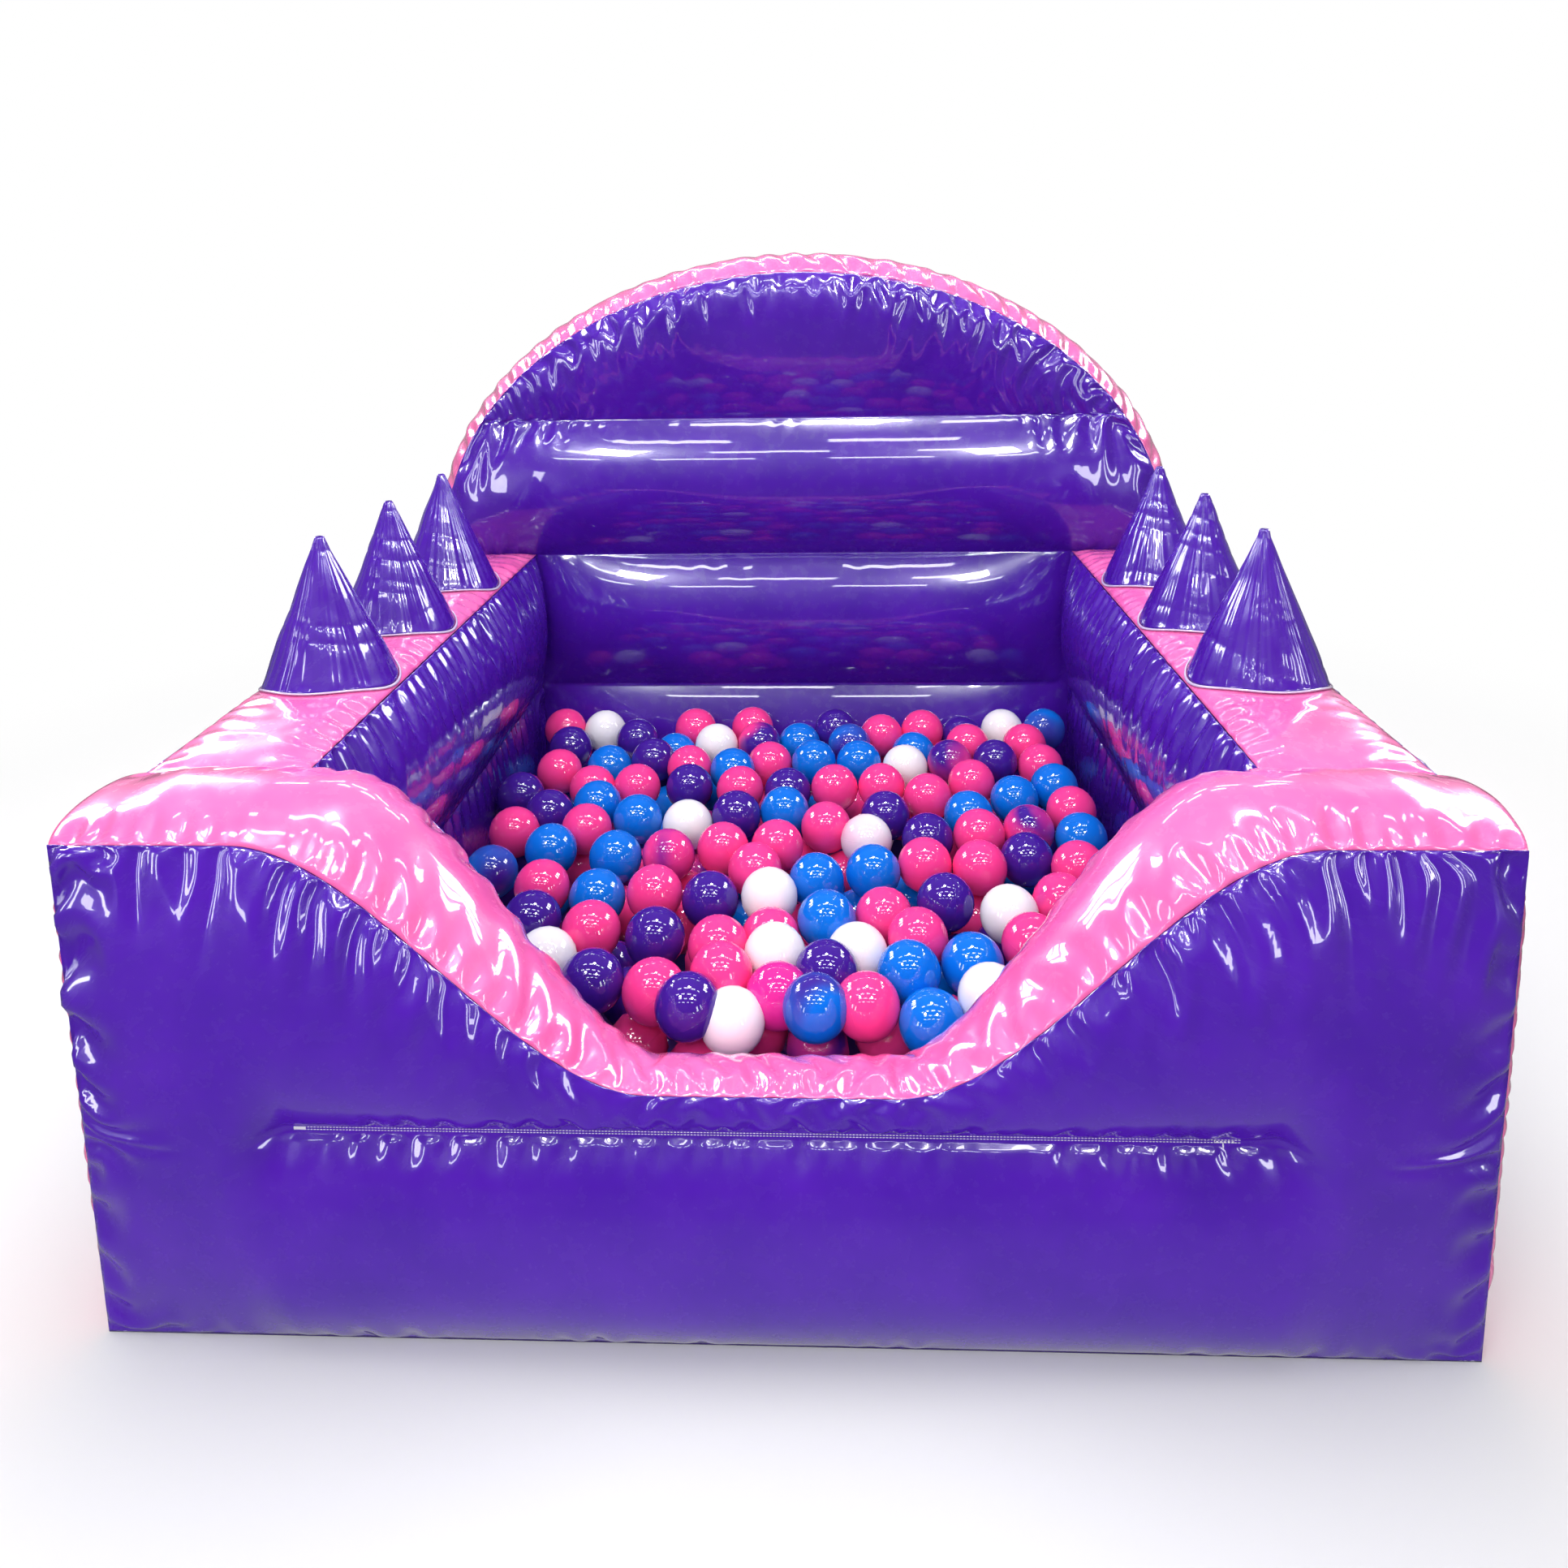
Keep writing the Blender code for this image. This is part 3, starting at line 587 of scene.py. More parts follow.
front_columns, front_rows = 330, 84
billow_height, shoulder_start, shoulder_end = 0.0030, 0.33, 0.46
share_x, share_z = np.meshgrid(np.linspace(0, 1, front_columns + 1), crowded(front_rows, 2))
x = mix(-half_width, half_width, share_x)
top = front_height(x)
z = two_stretches(share_z, base_top, front_seam_height, top)
out = held_swelling(x, z, top, front_seam_height, front_low_swell, front_swell)
spots = grid(x, front_y - out * swell(share_x, 8), z)
run_up, run_across = lengths(spots, 0), lengths(spots, 1)
under, across_end = run_up[-1:] - run_up, run_across[:, -1:] - run_across
from_seam = run_up - run_up[front_rows // 2:front_rows // 2 + 1]
held = 1 - smooth(stitched_half - 0.01, stitched_half + 0.03, np.abs(x))
edge = np.minimum(np.minimum(run_up, under), np.minimum(run_across, across_end))
inside = (1 - np.exp(-edge / 0.03)) * (1 - held * np.exp(-np.abs(from_seam) / 0.02))
billow = inside * billow_height * ripple(run_across / 0.22, run_up / 0.16, 61)
cut = push_out(spots, billow)
to_top = under * slope_of(front_height, x)[1]
on_shoulder = smooth(shoulder_start, shoulder_end, np.abs(x))
more_across = extra(
    run_across, to_top, 12,
    share=mix(0.06, 0.15, on_shoulder), reach=mix(0.040, 0.10, on_shoulder), patch=0.07,
)
more_across += held * extra(
    run_across, np.abs(from_seam), 13,
    share=0.04, reach=np.where(from_seam < 0, 0.040, 0.022), patch=0.09,
)
more_across += extra(run_across, run_up, 14, share=0.02, reach=0.03)
more_up = extra(run_up, run_across, 15, share=0.14, reach=0.045)
more_up += extra(run_up, across_end, 16, share=0.14, reach=0.045)
free = free_inside(spots)
free[(np.abs(from_seam) < 0.004) & (np.abs(x) < stitched_half)] = 0
front_surface = buckle(cut, more_across, more_up, free, 11)
front_bands = [
    "front_wall_left_shoulder_band",
    "front_wall_left_dip_band",
    "front_wall_right_dip_band",
    "front_wall_right_shoulder_band",
]
add_sheet(
    "front_wall_purple_panel", front_surface, purple_pvc, ["front_wall_outer_panel"], "purple_pvc",
    ["base_sheet", *front_bands], cut=spots,
)


# Front wall, inner panel: the same sheet towards the pool, with its own, lower dip.
pit_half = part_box("right_wall_inner_panel")[1].x - sheet_thick
pit_front_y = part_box("front_wall_inner_panel")[0].y + sheet_thick
back_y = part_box("back_wall_front_panel")[1].y - sheet_thick
dip_rear_height = dip_height - 0.100
front_seam_rear_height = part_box("front_wall_tie_sheet")[0].z + sheet_thick
dip_rear_slope_width = 0.37
front_inner_swell = 0.020
inner_columns, inner_rows = 260, 48
cone_x = (half_width + pit_half) / 2
roll_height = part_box("left_wall_tie_sheet")[1].z
port_height = (base_top + roll_height) / 2
port_radius = 0.055


def inner_height(x):
    """Seam between the front wall's inner panel and the edge band."""
    end = dip_flat_half + dip_rear_slope_width
    return mix(dip_rear_height, wall_height, smooth(dip_flat_half, end, np.abs(x)))


share_x, share_z = np.meshgrid(np.linspace(1, 0, inner_columns + 1), crowded(inner_rows, 2))
x = mix(-half_width, half_width, share_x)
top = inner_height(x)
z = two_stretches(share_z, base_top, front_seam_rear_height, top)
out = held_swelling(x, z, top, front_seam_rear_height, front_inner_swell, front_inner_swell)
out = out * np.maximum(1 - np.abs(x / pit_half) ** 6, 0)
spots = grid(x, pit_front_y + out, z)
run_up, run_across = lengths(spots, 0), lengths(spots, 1)
more_across = extra(run_across, run_up[-1:] - run_up, 71, share=0.08, reach=0.06)
free = free_inside(spots) * (np.abs(x) < pit_half - 0.01)
wrinkled = buckle(spots, more_across, 0 * x, free, 72)
ports = [((side * cone_x, pit_front_y, port_height), port_radius, 1) for side in (-1, 1)]
add_sheet(
    "front_wall_pool_side_panel", wrinkled, purple_pvc, ["front_wall_inner_panel"], "purple_pvc",
    ["base_sheet", *front_bands], cut=spots, holes=ports,
)


# Front wall, edge band: a pink strip of the same sheet, sewn along both panels, up one end, over
# the shoulders and the dip and down the other end. The dip crowds it into creases across.
band_crown, corner_fade, corner_turn = 0.035, 0.10, 0.05
seam_room = sheet_thick + 0.0003
front_thick = pit_front_y - front_y
pink_pvc = coated_pvc("pink_coated_pvc", "#FF78BC", "#F763AE")


def band_spots(before, behind, outward, crown, start_y, thick, over):
    """A grid of spots over a band: before and behind are its two seams, row by row across."""
    over = over[:, None, None]
    height = crown[None, :, None] * swell(over)
    spots = mix(before[None], behind[None], over) + outward[None] * height
    spots[..., 1] = start_y + mix(seam_room, thick - seam_room, over[..., 0])
    return spots


band_columns, band_rows = 700, 42
band_billow, dip_start, dip_end = 0.0020, 0.12, 0.46
leg = wall_height - base_top
reach_x = 2 * half_width
total = 2 * leg + reach_x
run = np.linspace(0, 1, band_columns + 1) * total
on_left, on_right = run < leg, run > leg + reach_x
x = np.clip(run - leg, 0, reach_x) - half_width
slope_sine, slope_cosine = slope_of(front_height, x)
ends_height = np.where(on_left, base_top + run, base_top + total - run)
before = grid(x, 0 * x, np.where(on_left | on_right, ends_height, front_height(x)))
behind = before.copy()
behind[:, 2] = np.where(on_left | on_right, before[:, 2], inner_height(x))
away_out = grid(-slope_sine, 0 * x, slope_cosine)
away_out[on_left] = (-1, 0, 0)
away_out[on_right] = (1, 0, 0)
to_corner = np.minimum(np.abs(run - leg), np.abs(run - leg - reach_x))
to_foot = np.minimum(run, total - run)
crown = band_crown * mix(0.5, 1, smooth(0, corner_fade, to_corner)) * smooth(0, corner_fade, to_foot)
turning = np.hanning(2 * round(corner_turn / total * band_columns) + 1)
for part in (0, 2):
    padded = np.pad(away_out[:, part], len(turning) // 2, mode="edge")
    away_out[:, part] = np.convolve(padded, turning / turning.sum(), mode="valid")
away_out /= np.linalg.norm(away_out, axis=1, keepdims=True)
over = np.linspace(0, 1, band_rows + 1)
spots = band_spots(before, behind, away_out, crown, front_y, front_thick, over)


def band_creases(spots, seed, share, reach, middle_share):
    """Springy spots of a band: gathered along both seams, and crowded across its middle."""
    run_along, run_over = lengths(spots, 1), lengths(spots, 0)
    more_along = extra(run_along, run_over, seed, share, reach, patch=0.10)
    more_along += extra(run_along, run_over[-1:] - run_over, seed + 1, share, reach, patch=0.10)
    more_along += middle_share * np.abs(ripple(run_along / 0.06, run_over / 0.4, seed + 2))
    return more_along, free_inside(spots)


run_over = lengths(spots, 0)
edge = np.minimum(run_over, run_over[-1:] - run_over)
inside = 1 - np.exp(-edge / 0.03)
billow = inside * band_billow * ripple(lengths(spots, 1) / 0.14, edge / 0.10, 86)
cut = push_out(spots, billow)
in_dip = 1 - smooth(dip_start, dip_end, np.abs(x))[None]
more_along, free = band_creases(cut, 81, share=0.09, reach=0.042, middle_share=0.05 * in_dip)
wrinkled = buckle(cut, more_along, 0 * more_along, free, 84)
sewn_to = ["front_wall_outer_panel", "front_wall_inner_panel"]
add_sheet("front_wall_pink_band", wrinkled, pink_pvc, front_bands, "pink_pvc", sewn_to, cut=spots)


# Side walls: an inner and an outer purple panel, each held in halfway up by a tie sheet inside,
# and a pink band crowned over the top, with three round air ports under the cones.
side_thick = half_width - pit_half
side_low_swell, side_roll_swell, side_outer_swell = 0.012, 0.045, 0.032
side_crown = 0.020
top_columns, top_rows = 240, 44
cone_port_radius, cone_foot = 0.055, 0.099
seam_end = 0.0003
pool_length = back_y - pit_front_y
cone_boxes = [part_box(f"left_air_cone_{number}") for number in (1, 2, 3)]
cone_ys = [(low.y + high.y) / 2 for low, high in cone_boxes]
sides = ((-1, "left"), (1, "right"))


def side_top(x, y):
    """The crowned top of a side wall, where the air cones stand."""
    across = np.minimum(np.abs(np.abs(x) - cone_x) / (side_thick / 2), 1)
    return wall_height + side_crown * (1 - across**4) * swell((y - pit_front_y) / pool_length, 8)


def side_panel(label, name, part, plane_x, facing, low_swell, high_swell, seed, columns, rows):
    """A panel along a side wall; facing is the x direction that its outside looks in."""
    lengthwise = np.linspace(0, 1, columns + 1)
    if facing < 0:
        lengthwise = lengthwise[::-1]
    share_y, share_z = np.meshgrid(lengthwise, crowded(rows, 2))
    y = mix(pit_front_y + seam_end, back_y - seam_end, share_y)
    z = two_stretches(share_z, base_top, roll_height, wall_height)
    low, high = low_swell * swell(2 * share_z), high_swell * swell(2 * share_z - 1)
    out = np.where(share_z <= 0.5, low, high)
    spots = grid(plane_x + facing * out * swell(share_y, 8), y, z)
    run_up, run_along = lengths(spots, 0), lengths(spots, 1)
    from_middle = np.abs(run_up - run_up[rows // 2:rows // 2 + 1])
    ends = np.minimum(run_along, run_along[:, -1:] - run_along)
    more_along = extra(run_along, run_up[-1:] - run_up, seed, share=0.13, reach=0.085)
    more_along += extra(run_along, from_middle, seed + 20, share=0.05, reach=0.04)
    more_up = extra(run_up, ends, seed + 30, share=0.06, reach=0.05)
    free = free_inside(spots)
    free[rows // 2] = 0
    wrinkled = buckle(spots, more_along, more_up, free, seed + 40)
    add_sheet(
        f"{label}_wall_{name}_panel", wrinkled, purple_pvc, [f"{label}_wall_{part}_panel"],
        "purple_pvc", ["base_sheet", f"{label}_wall_top_band"], cut=spots,
    )


for side, label in sides:
    side_panel(
        label, "pool_side", "inner", side * pit_half, -side, side_low_swell, side_roll_swell,
        seed=100 + 50 * side, columns=240, rows=72,
    )
    side_panel(
        label, "outside", "outer", side * half_width, side, side_outer_swell, side_outer_swell,
        seed=300 + 50 * side, columns=200, rows=64,
    )
    share_y, over = shares(top_columns, top_rows)
    if side > 0:
        share_y = share_y[:, ::-1]
    x = side * mix(pit_half + seam_room, half_width - seam_room, 1 - over)
    y = mix(back_y - seam_end, pit_front_y + seam_end, share_y)
    spots = grid(x, y, side_top(x, y))
    if outward_of(spots)[top_rows // 2, top_columns // 2, 2] < 0:
        spots = spots[::-1]
        x, y = spots[..., 0], spots[..., 1]
    more_along, free = band_creases(
        spots, 500 + side, share=0.07, reach=0.035, middle_share=0.01
    )
    for cone_y in cone_ys:
        from_cone = np.hypot(x - side * cone_x, y - cone_y)
        free *= smooth(cone_foot, cone_foot + 0.006, from_cone)
    ports = [((side * cone_x, cone_y, wall_height), cone_port_radius, 2) for cone_y in cone_ys]
    wrinkled = buckle(spots, more_along, 0 * x, free, 520 + side)
    add_sheet(
        f"{label}_wall_pink_top_band", wrinkled, pink_pvc, [f"{label}_wall_top_band"], "pink_pvc",
        [f"{label}_wall_inner_panel", f"{label}_wall_outer_panel"], cut=spots, holes=ports,
    )


# Back wall, front panel: an arched sheet that three level rows of stitches pinch into four rolls.
# The sheet gathers along each row, at its ends and all round the arch.
arch_seam_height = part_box("back_wall_tie_sheet_high")[1].z
arch_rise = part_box("back_wall_front_panel")[1].z - wall_height
arch_seam_half = half_width * math.sqrt(1 - ((arch_seam_height - wall_height) / arch_rise) ** 2)
back_thick = rear_y - back_y
back_roll_swell, back_end_swell, rear_swell = 0.060, 0.050, 0.040
seam_heights = (base_top, roll_height, wall_height, arch_seam_height)
seam_angle = math.asin((arch_seam_height - wall_height) / arch_rise)


def arch_half(z):
    """Half the back wall's width at a height."""
    rise = np.clip((z - wall_height) / arch_rise, 0, 1)
    return half_width * np.sqrt(1 - rise * rise)


def arch_grid(columns, rows, crown_rows):
    """Places over the arch, the roll that each lies in and how far up the roll it is."""
    share_x = np.linspace(-1, 1, columns + 1)
    xs, zs, rolls, ups = [], [], [], []
    for number in range(3):
        up = crowded(rows[number])
        up = up if number == 2 else up[:-1]
        for part in up:
            z = mix(seam_heights[number], seam_heights[number + 1], part)
            xs.append(share_x * arch_half(z))
            zs.append(np.full(columns + 1, z))
            rolls.append(number)
            ups.append(np.full(columns + 1, part))
    column_x = share_x * arch_seam_half
    crest = wall_height + arch_rise * np.sqrt(np.maximum(1 - (column_x / half_width) ** 2, 0))
    for part in crowded(crown_rows)[1:]:
        z = mix(arch_seam_height, np.maximum(crest, arch_seam_height), part)
        xs.append(column_x)
        zs.append(z)
        rolls.append(3)
        angle = np.arcsin(np.clip((z - wall_height) / arch_rise, 0, 1))
        ups.append((angle - seam_angle) / (math.pi / 2 - seam_angle))
    return np.array(xs), np.array(zs), np.array(rolls)[:, None], np.array(ups)


def arch_swelling(x, z, rolls, ups, swellings, low_half):
    """How far an arched panel stands out of its seam plane."""
    reach = np.where(rolls < 2, low_half, np.maximum(arch_half(z), 0.0003))
    fade = np.maximum(1 - np.abs(x / reach) ** 6, 0)
    return np.array(swellings)[rolls] * swell(ups) * fade


def arch_gathers(x, z, spots, seed, strength=1.0):
    """How much longer an arched panel is than its level seams and the seam round the arch."""
    run_up = lengths(spots, 0)
    more_across, more_up, free = 0 * x, 0 * x, free_inside(spots)
    for number, seam in enumerate(seam_heights[1:]):
        row = int(np.argmin(np.abs(z[:, x.shape[1] // 2] - seam)))
        from_seam = run_up - run_up[row:row + 1]
        reach = np.where(from_seam < 0, 0.060, 0.030)
        to_end = np.abs(x) / np.maximum(arch_half(z), 0.01)
        ends = 0.012 + 0.11 * smooth(0.62, 0.95, to_end)
        reach = reach * (1 + smooth(0.7, 0.95, to_end))
        more_across += extra(
            x + half_width, np.abs(from_seam), seed + number, share=ends, reach=reach, patch=0.06
        )
        free[row] = 0
    rise = np.maximum(z - wall_height, 0)
    ratio = np.sqrt((x / half_width) ** 2 + (rise / arch_rise) ** 2)
    slope = np.sqrt((x / half_width**2) ** 2 + (rise / arch_rise**2) ** 2)
    from_arch = np.maximum((1 - ratio) * ratio / np.maximum(slope, 1e-6), 0)
    turn = np.arctan2(rise / arch_rise, x / half_width)
    along_arch = turn * (half_width + arch_rise) / 2 + np.minimum(z - wall_height, 0) + half_width
    around = extra(along_arch, from_arch, seed + 10, share=0.12, reach=0.075, patch=0.06)
    more_across += around * np.sin(turn) ** 2
    more_up += around * np.cos(turn) ** 2
    return strength * more_across, strength * more_up, free


x, z, rolls, ups = arch_grid(columns=300, rows=(16, 36, 36), crown_rows=40)
swellings = (back_end_swell, back_roll_swell, back_roll_swell, back_end_swell)
out = arch_swelling(x, z, rolls, ups, swellings, pit_half)
spots = grid(x, back_y - out, z)
more_across, more_up, free = arch_gathers(x, z, spots, 600)
free[(z < wall_height) & (np.abs(x) > pit_half - 0.01)] = 0
wrinkled = buckle(spots, more_across, more_up, free, 640)
ports = [((side * cone_x, back_y, port_height), port_radius, 1) for side in (-1, 1)]
add_sheet(
    "back_wall_purple_panel", wrinkled, purple_pvc, ["back_wall_front_panel"], "purple_pvc",
    ["base_sheet", "back_wall_edge_band"], cut=spots, holes=ports,
)


# Back wall, rear panel: the same arch, plainer, with the hole for the blower's sleeve.
inlet_low, inlet_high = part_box("blower_inlet_sleeve")
inlet_x = (inlet_low.x + inlet_high.x) / 2
inlet_z = (inlet_low.z + inlet_high.z) / 2
inlet_radius = (inlet_high.x - inlet_low.x) / 2
zip_height = (roll_height + wall_height) / 2
patched_radius, zip_half, zip_half_wide = 0.088, 0.155, 0.018
x, z, rolls, ups = arch_grid(columns=240, rows=(30, 28, 28), crown_rows=30)
out = arch_swelling(x, z, rolls, ups, [rear_swell] * 4, half_width)
spots = grid(-x, rear_y + out, z)
from_inlet = np.hypot(spots[..., 0] - inlet_x, z - inlet_z)
more_across, more_up, free = arch_gathers(x, z, spots, 700, strength=0.8)
past_zip = np.maximum(np.abs(x) - zip_half, 0)
past_zip += np.maximum(np.abs(z - zip_height) - zip_half_wide, 0)
free[(from_inlet < patched_radius) | (past_zip < 0.004)] = 0
wrinkled = buckle(spots, more_across, more_up, free, 740)
bore = [((inlet_x, rear_y, inlet_z), inlet_radius + 0.001, 1)]
add_sheet(
    "back_wall_purple_rear_panel", wrinkled, purple_pvc, ["back_wall_rear_panel"], "purple_pvc",
    ["base_sheet", "back_wall_edge_band"], cut=spots, holes=bore,
)


# Back wall, edge band: a pink strip from the ground up one end, over the arch and down the other.
turn = np.linspace(math.pi, 0, 2001)
arch_line = grid(half_width * np.cos(turn), 0 * turn, wall_height + arch_rise * np.sin(turn))
leg_z = np.linspace(base_top, wall_height, 201)[:-1]
left_leg = grid(0 * leg_z - half_width, 0 * leg_z, leg_z)
right_leg = left_leg[::-1] * (-1, 1, 1)
line = np.concatenate([left_leg, arch_line, right_leg])
line_run = np.concatenate([[0], np.cumsum(np.linalg.norm(np.diff(line, axis=0), axis=1))])
arch_columns, arch_rows = 520, 38
run = np.linspace(0, line_run[-1], arch_columns + 1)
path = np.stack([np.interp(run, line_run, line[:, part]) for part in range(3)], axis=1)
rise = np.maximum(path[:, 2] - wall_height, 0)
away_out = grid(path[:, 0] / half_width**2, 0 * run, rise / arch_rise**2)
away_out /= np.linalg.norm(away_out, axis=1, keepdims=True)
crown = band_crown * smooth(0, corner_fade, np.minimum(run, run[-1] - run))
over = np.linspace(0, 1, arch_rows + 1)
spots = band_spots(path, path, away_out, crown, back_y, back_thick, over)
more_along, free = band_creases(spots, 801, share=0.11, reach=0.045, middle_share=0.03)
wrinkled = buckle(spots, more_along, 0 * more_along, free, 811)
add_sheet(
    "back_wall_pink_band", wrinkled, pink_pvc, ["back_wall_edge_band"], "pink_pvc",
    ["back_wall_front_panel", "back_wall_rear_panel"], cut=spots,
)


# Air cones: purple sheet rolled to a cone with one lengthwise seam, sewn down over its port, and
# slack enough that it stands in dents and rings. The tip is left open for the air.
cone_radius, cone_tip_radius, cone_slant = 0.0925, 0.006, 0.24
cone_top = cone_boxes[0][1].z
cone_seat = 0.0025
around_count, cone_rows = 180, 72
ring_height, dent_height, pleat_height = 0.0015, 0.0016, 0.0028
cone_seam_turn, cone_seam_width, cone_seam_depth = 4.4, 0.0022, 0.0016


def cone_spots(side, cone_y, seed):
    """A cone's spots: rings, dents and pleats that fade towards its foot and its tip."""
    share_turn, up = shares(around_count, cone_rows)
    turn = 2 * math.pi * share_turn
    radius = mix(cone_radius, cone_tip_radius, up) - 0.003 * swell(up)
    loop_x, loop_y = np.cos(turn), np.sin(turn)
    run = up * cone_slant
    wave_x, wave_y = loop_x * radius / 0.03, loop_y * radius / 0.03
    rings = np.sqrt(np.abs(ripple(run / 0.030 + 0.25 * wave_x, 0.3 * wave_y + 9, seed))) - 0.6
    dents = ripple(wave_x * 0.7 + run / 0.09, wave_y * 0.7 + 20 + run / 0.12, seed + 1)
    pleats = np.sqrt(np.abs(ripple(9 + 8.5 * loop_x + run / 0.5, 9 + 8.5 * loop_y, seed + 2))) - 0.6
    fade = smooth(0, 0.05, up) * smooth(1.0, 0.93, up)
    radius = radius + fade * (
        ring_height * rings + dent_height * dents + pleat_height * pleats * (1 - 0.7 * up)
    )
    from_seam = np.abs((turn - cone_seam_turn + math.pi) % (2 * math.pi) - math.pi) * radius
    in_seam = np.exp(-((from_seam / cone_seam_width) ** 2))
    radius = radius - cone_seam_depth * in_seam * smooth(1.0, 0.97, up)
    x = side * cone_x + radius * loop_x
    y = cone_y + radius * loop_y
    foot = side_top(x, y) + cone_seat
    return grid(x, y, mix(foot, cone_top, up))


for side, label in sides:
    for number, cone_y in enumerate(cone_ys, 1):
        spots = cone_spots(side, cone_y, 900 + 30 * side + 7 * number)
        add_sheet(
            f"{label}_purple_cone_{number}", spots, purple_pvc, [f"{label}_air_cone_{number}"],
            "purple_pvc", [f"{label}_wall_top_band"],
        )


# Cone welts: the thin cord that is folded into the seam round the foot of each cone. Its pale colour
# is a painted highlight.
welt_radius = 0.0014
# The welt's pale colour is a painted highlight along the foot of each cone.
welt_pvc_painted_highlight = coated_pvc("pale_piping_pvc", "#D9CDE8", "#C9B8DE", roughness=0.35, weave=0.5)
for side, label in sides:
    for number, cone_y in enumerate(cone_ys, 1):
        turn, ring = np.meshgrid(np.linspace(0, 2 * math.pi, 121), np.linspace(0, -2 * math.pi, 13))
        reach = cone_radius + welt_radius + 0.0006 + welt_radius * np.cos(ring)
        x = side * cone_x + reach * np.cos(turn)
        y = cone_y + reach * np.sin(turn)
        z = side_top(x, y) + cone_seat + welt_radius * (1 + np.sin(ring)) - 0.001
        welt = lay_sheet(f"{label}_pale_welt_{number}", grid(x, y, z), welt_pvc_painted_highlight, thick=0)
        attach(welt, "pit")
        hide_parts(f"{label}_cone_welt_{number}")


# Stitches: white bonded thread in two rows across the front panel, which hold the tie sheet
# behind it, with a bar tack at the left end and a bracket and a thread's tail at the right.
stitch_pitch, stitch_length = 0.0035, 0.0029
thread_radius, row_half_gap = 0.00045, 0.00145
stitched_from, stitched_to = -0.516, 0.485
tack_length, tack_width, tack_pitch = 0.012, 0.0046, 0.0008
bracket_start, bracket_fill_start, bracket_fill_end = 0.4587, 0.4615, 0.478
tail_place, tail_length = 0.4675, 0.0065


def shade_by(tree, shader, pattern, colours, relief, values):
    """Give a shader two colours and a relief that follow one pattern, and these other values."""
    low, high = (linear_colour(colour) for colour in colours)
    tone = add_node(tree, "ShaderNodeMix", {0: pattern, 6: low, 7: high}, data_type="RGBA")
    bump = add_node(tree, "ShaderNodeBump", {
        "Height": pattern, "Distance": relief[0], "Strength": relief[1],
    })
    give(tree, shader, {"Base Color": tone[2], "Normal": bump[0], **values})


def bonded_thread():
    """Bonded polyester sewing thread: white, twisted, with a faint sheen."""
    twist_pitch = 0.0011
    material, tree, shader = new_material("white_bonded_thread")
    metres = add_node(tree, "ShaderNodeTexCoord")["Object"]
    twist = add_node(tree, "ShaderNodeTexWave", {
        "Vector": metres, "Scale": 1 / (math.pi * twist_pitch), "Distortion": 1.5,
    }, bands_direction="DIAGONAL")
    shade_by(tree, shader, twist["Fac"], ("#CFC8DC", "#F4F0F8"), (0.0001, 0.5), {
        "Roughness": 0.55, "Sheen Weight": 0.3,
    })
    return material


def start_tree(name, sockets):
    """A Geometry Nodes tree, its inputs' identifiers and the sockets of its input node."""
    tree = bpy.data.node_groups.new(name, "GeometryNodeTree")
    tree.interface.new_socket("Points", in_out="INPUT", socket_type="NodeSocketGeometry")
    inputs = {}
    for label, kind in sockets.items():
        socket = tree.interface.new_socket(label, in_out="INPUT", socket_type=f"NodeSocket{kind}")
        inputs[label] = socket.identifier
    tree.interface.new_socket("Pieces", in_out="OUTPUT", socket_type="NodeSocketGeometry")
    return tree, inputs, add_node(tree, "NodeGroupInput")


def end_tree(tree, instances, material):
    """Make a tree's instances real, in their material, as its output."""
    real = add_node(tree, "GeometryNodeRealizeInstances", {"Geometry": instances})
    finished = add_node(tree, "GeometryNodeSetMaterial", {
        "Geometry": real["Geometry"], "Material": material,
    })
    add_node(tree, "NodeGroupOutput", {"Pieces": finished["Geometry"]})


def path_mesh(name, paths):
    """A mesh of spots, joined along each path."""
    mesh = bpy.data.meshes.new(name)
    work = bmesh.new()
    for path in paths:
        corners = [work.verts.new(spot) for spot in path]
        for start, end in zip(corners, corners[1:]):
            work.edges.new((start, end))
    work.to_mesh(mesh)
    work.free()
    return mesh


def grow(name, mesh, tree, inputs, values):
    """The plain mesh that a tree makes of these points, with these values."""
    piece = show(name, mesh)
    nodes = piece.modifiers.new(tree.name, "NODES")
    nodes.node_group = tree
    for label, value in values.items():
        nodes[inputs[label]] = value
    return settle(piece)


def stitch_tree(material):
    """Geometry nodes that lay pill-shaped stitches along paths."""
    tree, inputs, given = start_tree("stitches_on_paths", {
        "Pitch": "Float", "Length": "Float", "Radius": "Float",
    })
    line = add_node(tree, "GeometryNodeMeshToCurve", {"Mesh": given["Points"]})
    points = add_node(tree, "GeometryNodeCurveToPoints", {
        "Curve": line["Curve"], "Length": given["Pitch"],
    }, mode="LENGTH")
    half = add_node(tree, "ShaderNodeMath", {0: given["Length"], 1: 2}, operation="DIVIDE")
    size = add_node(tree, "ShaderNodeCombineXYZ", {
        "X": given["Radius"], "Y": given["Radius"], "Z": half[0],
    })
    pill = add_node(tree, "GeometryNodeMeshUVSphere", {"Segments": 6, "Rings": 4, "Radius": 1})
    stitch = add_node(tree, "GeometryNodeTransform", {
        "Geometry": pill["Mesh"], "Scale": size[0],
    })
    each = add_node(tree, "GeometryNodeInstanceOnPoints", {
        "Points": points["Points"],
        "Instance": stitch["Geometry"],
        "Rotation": points["Rotation"],
    })
    end_tree(tree, each["Instances"], material)
    return tree, inputs


stitches_on_paths = stitch_tree(bonded_thread())


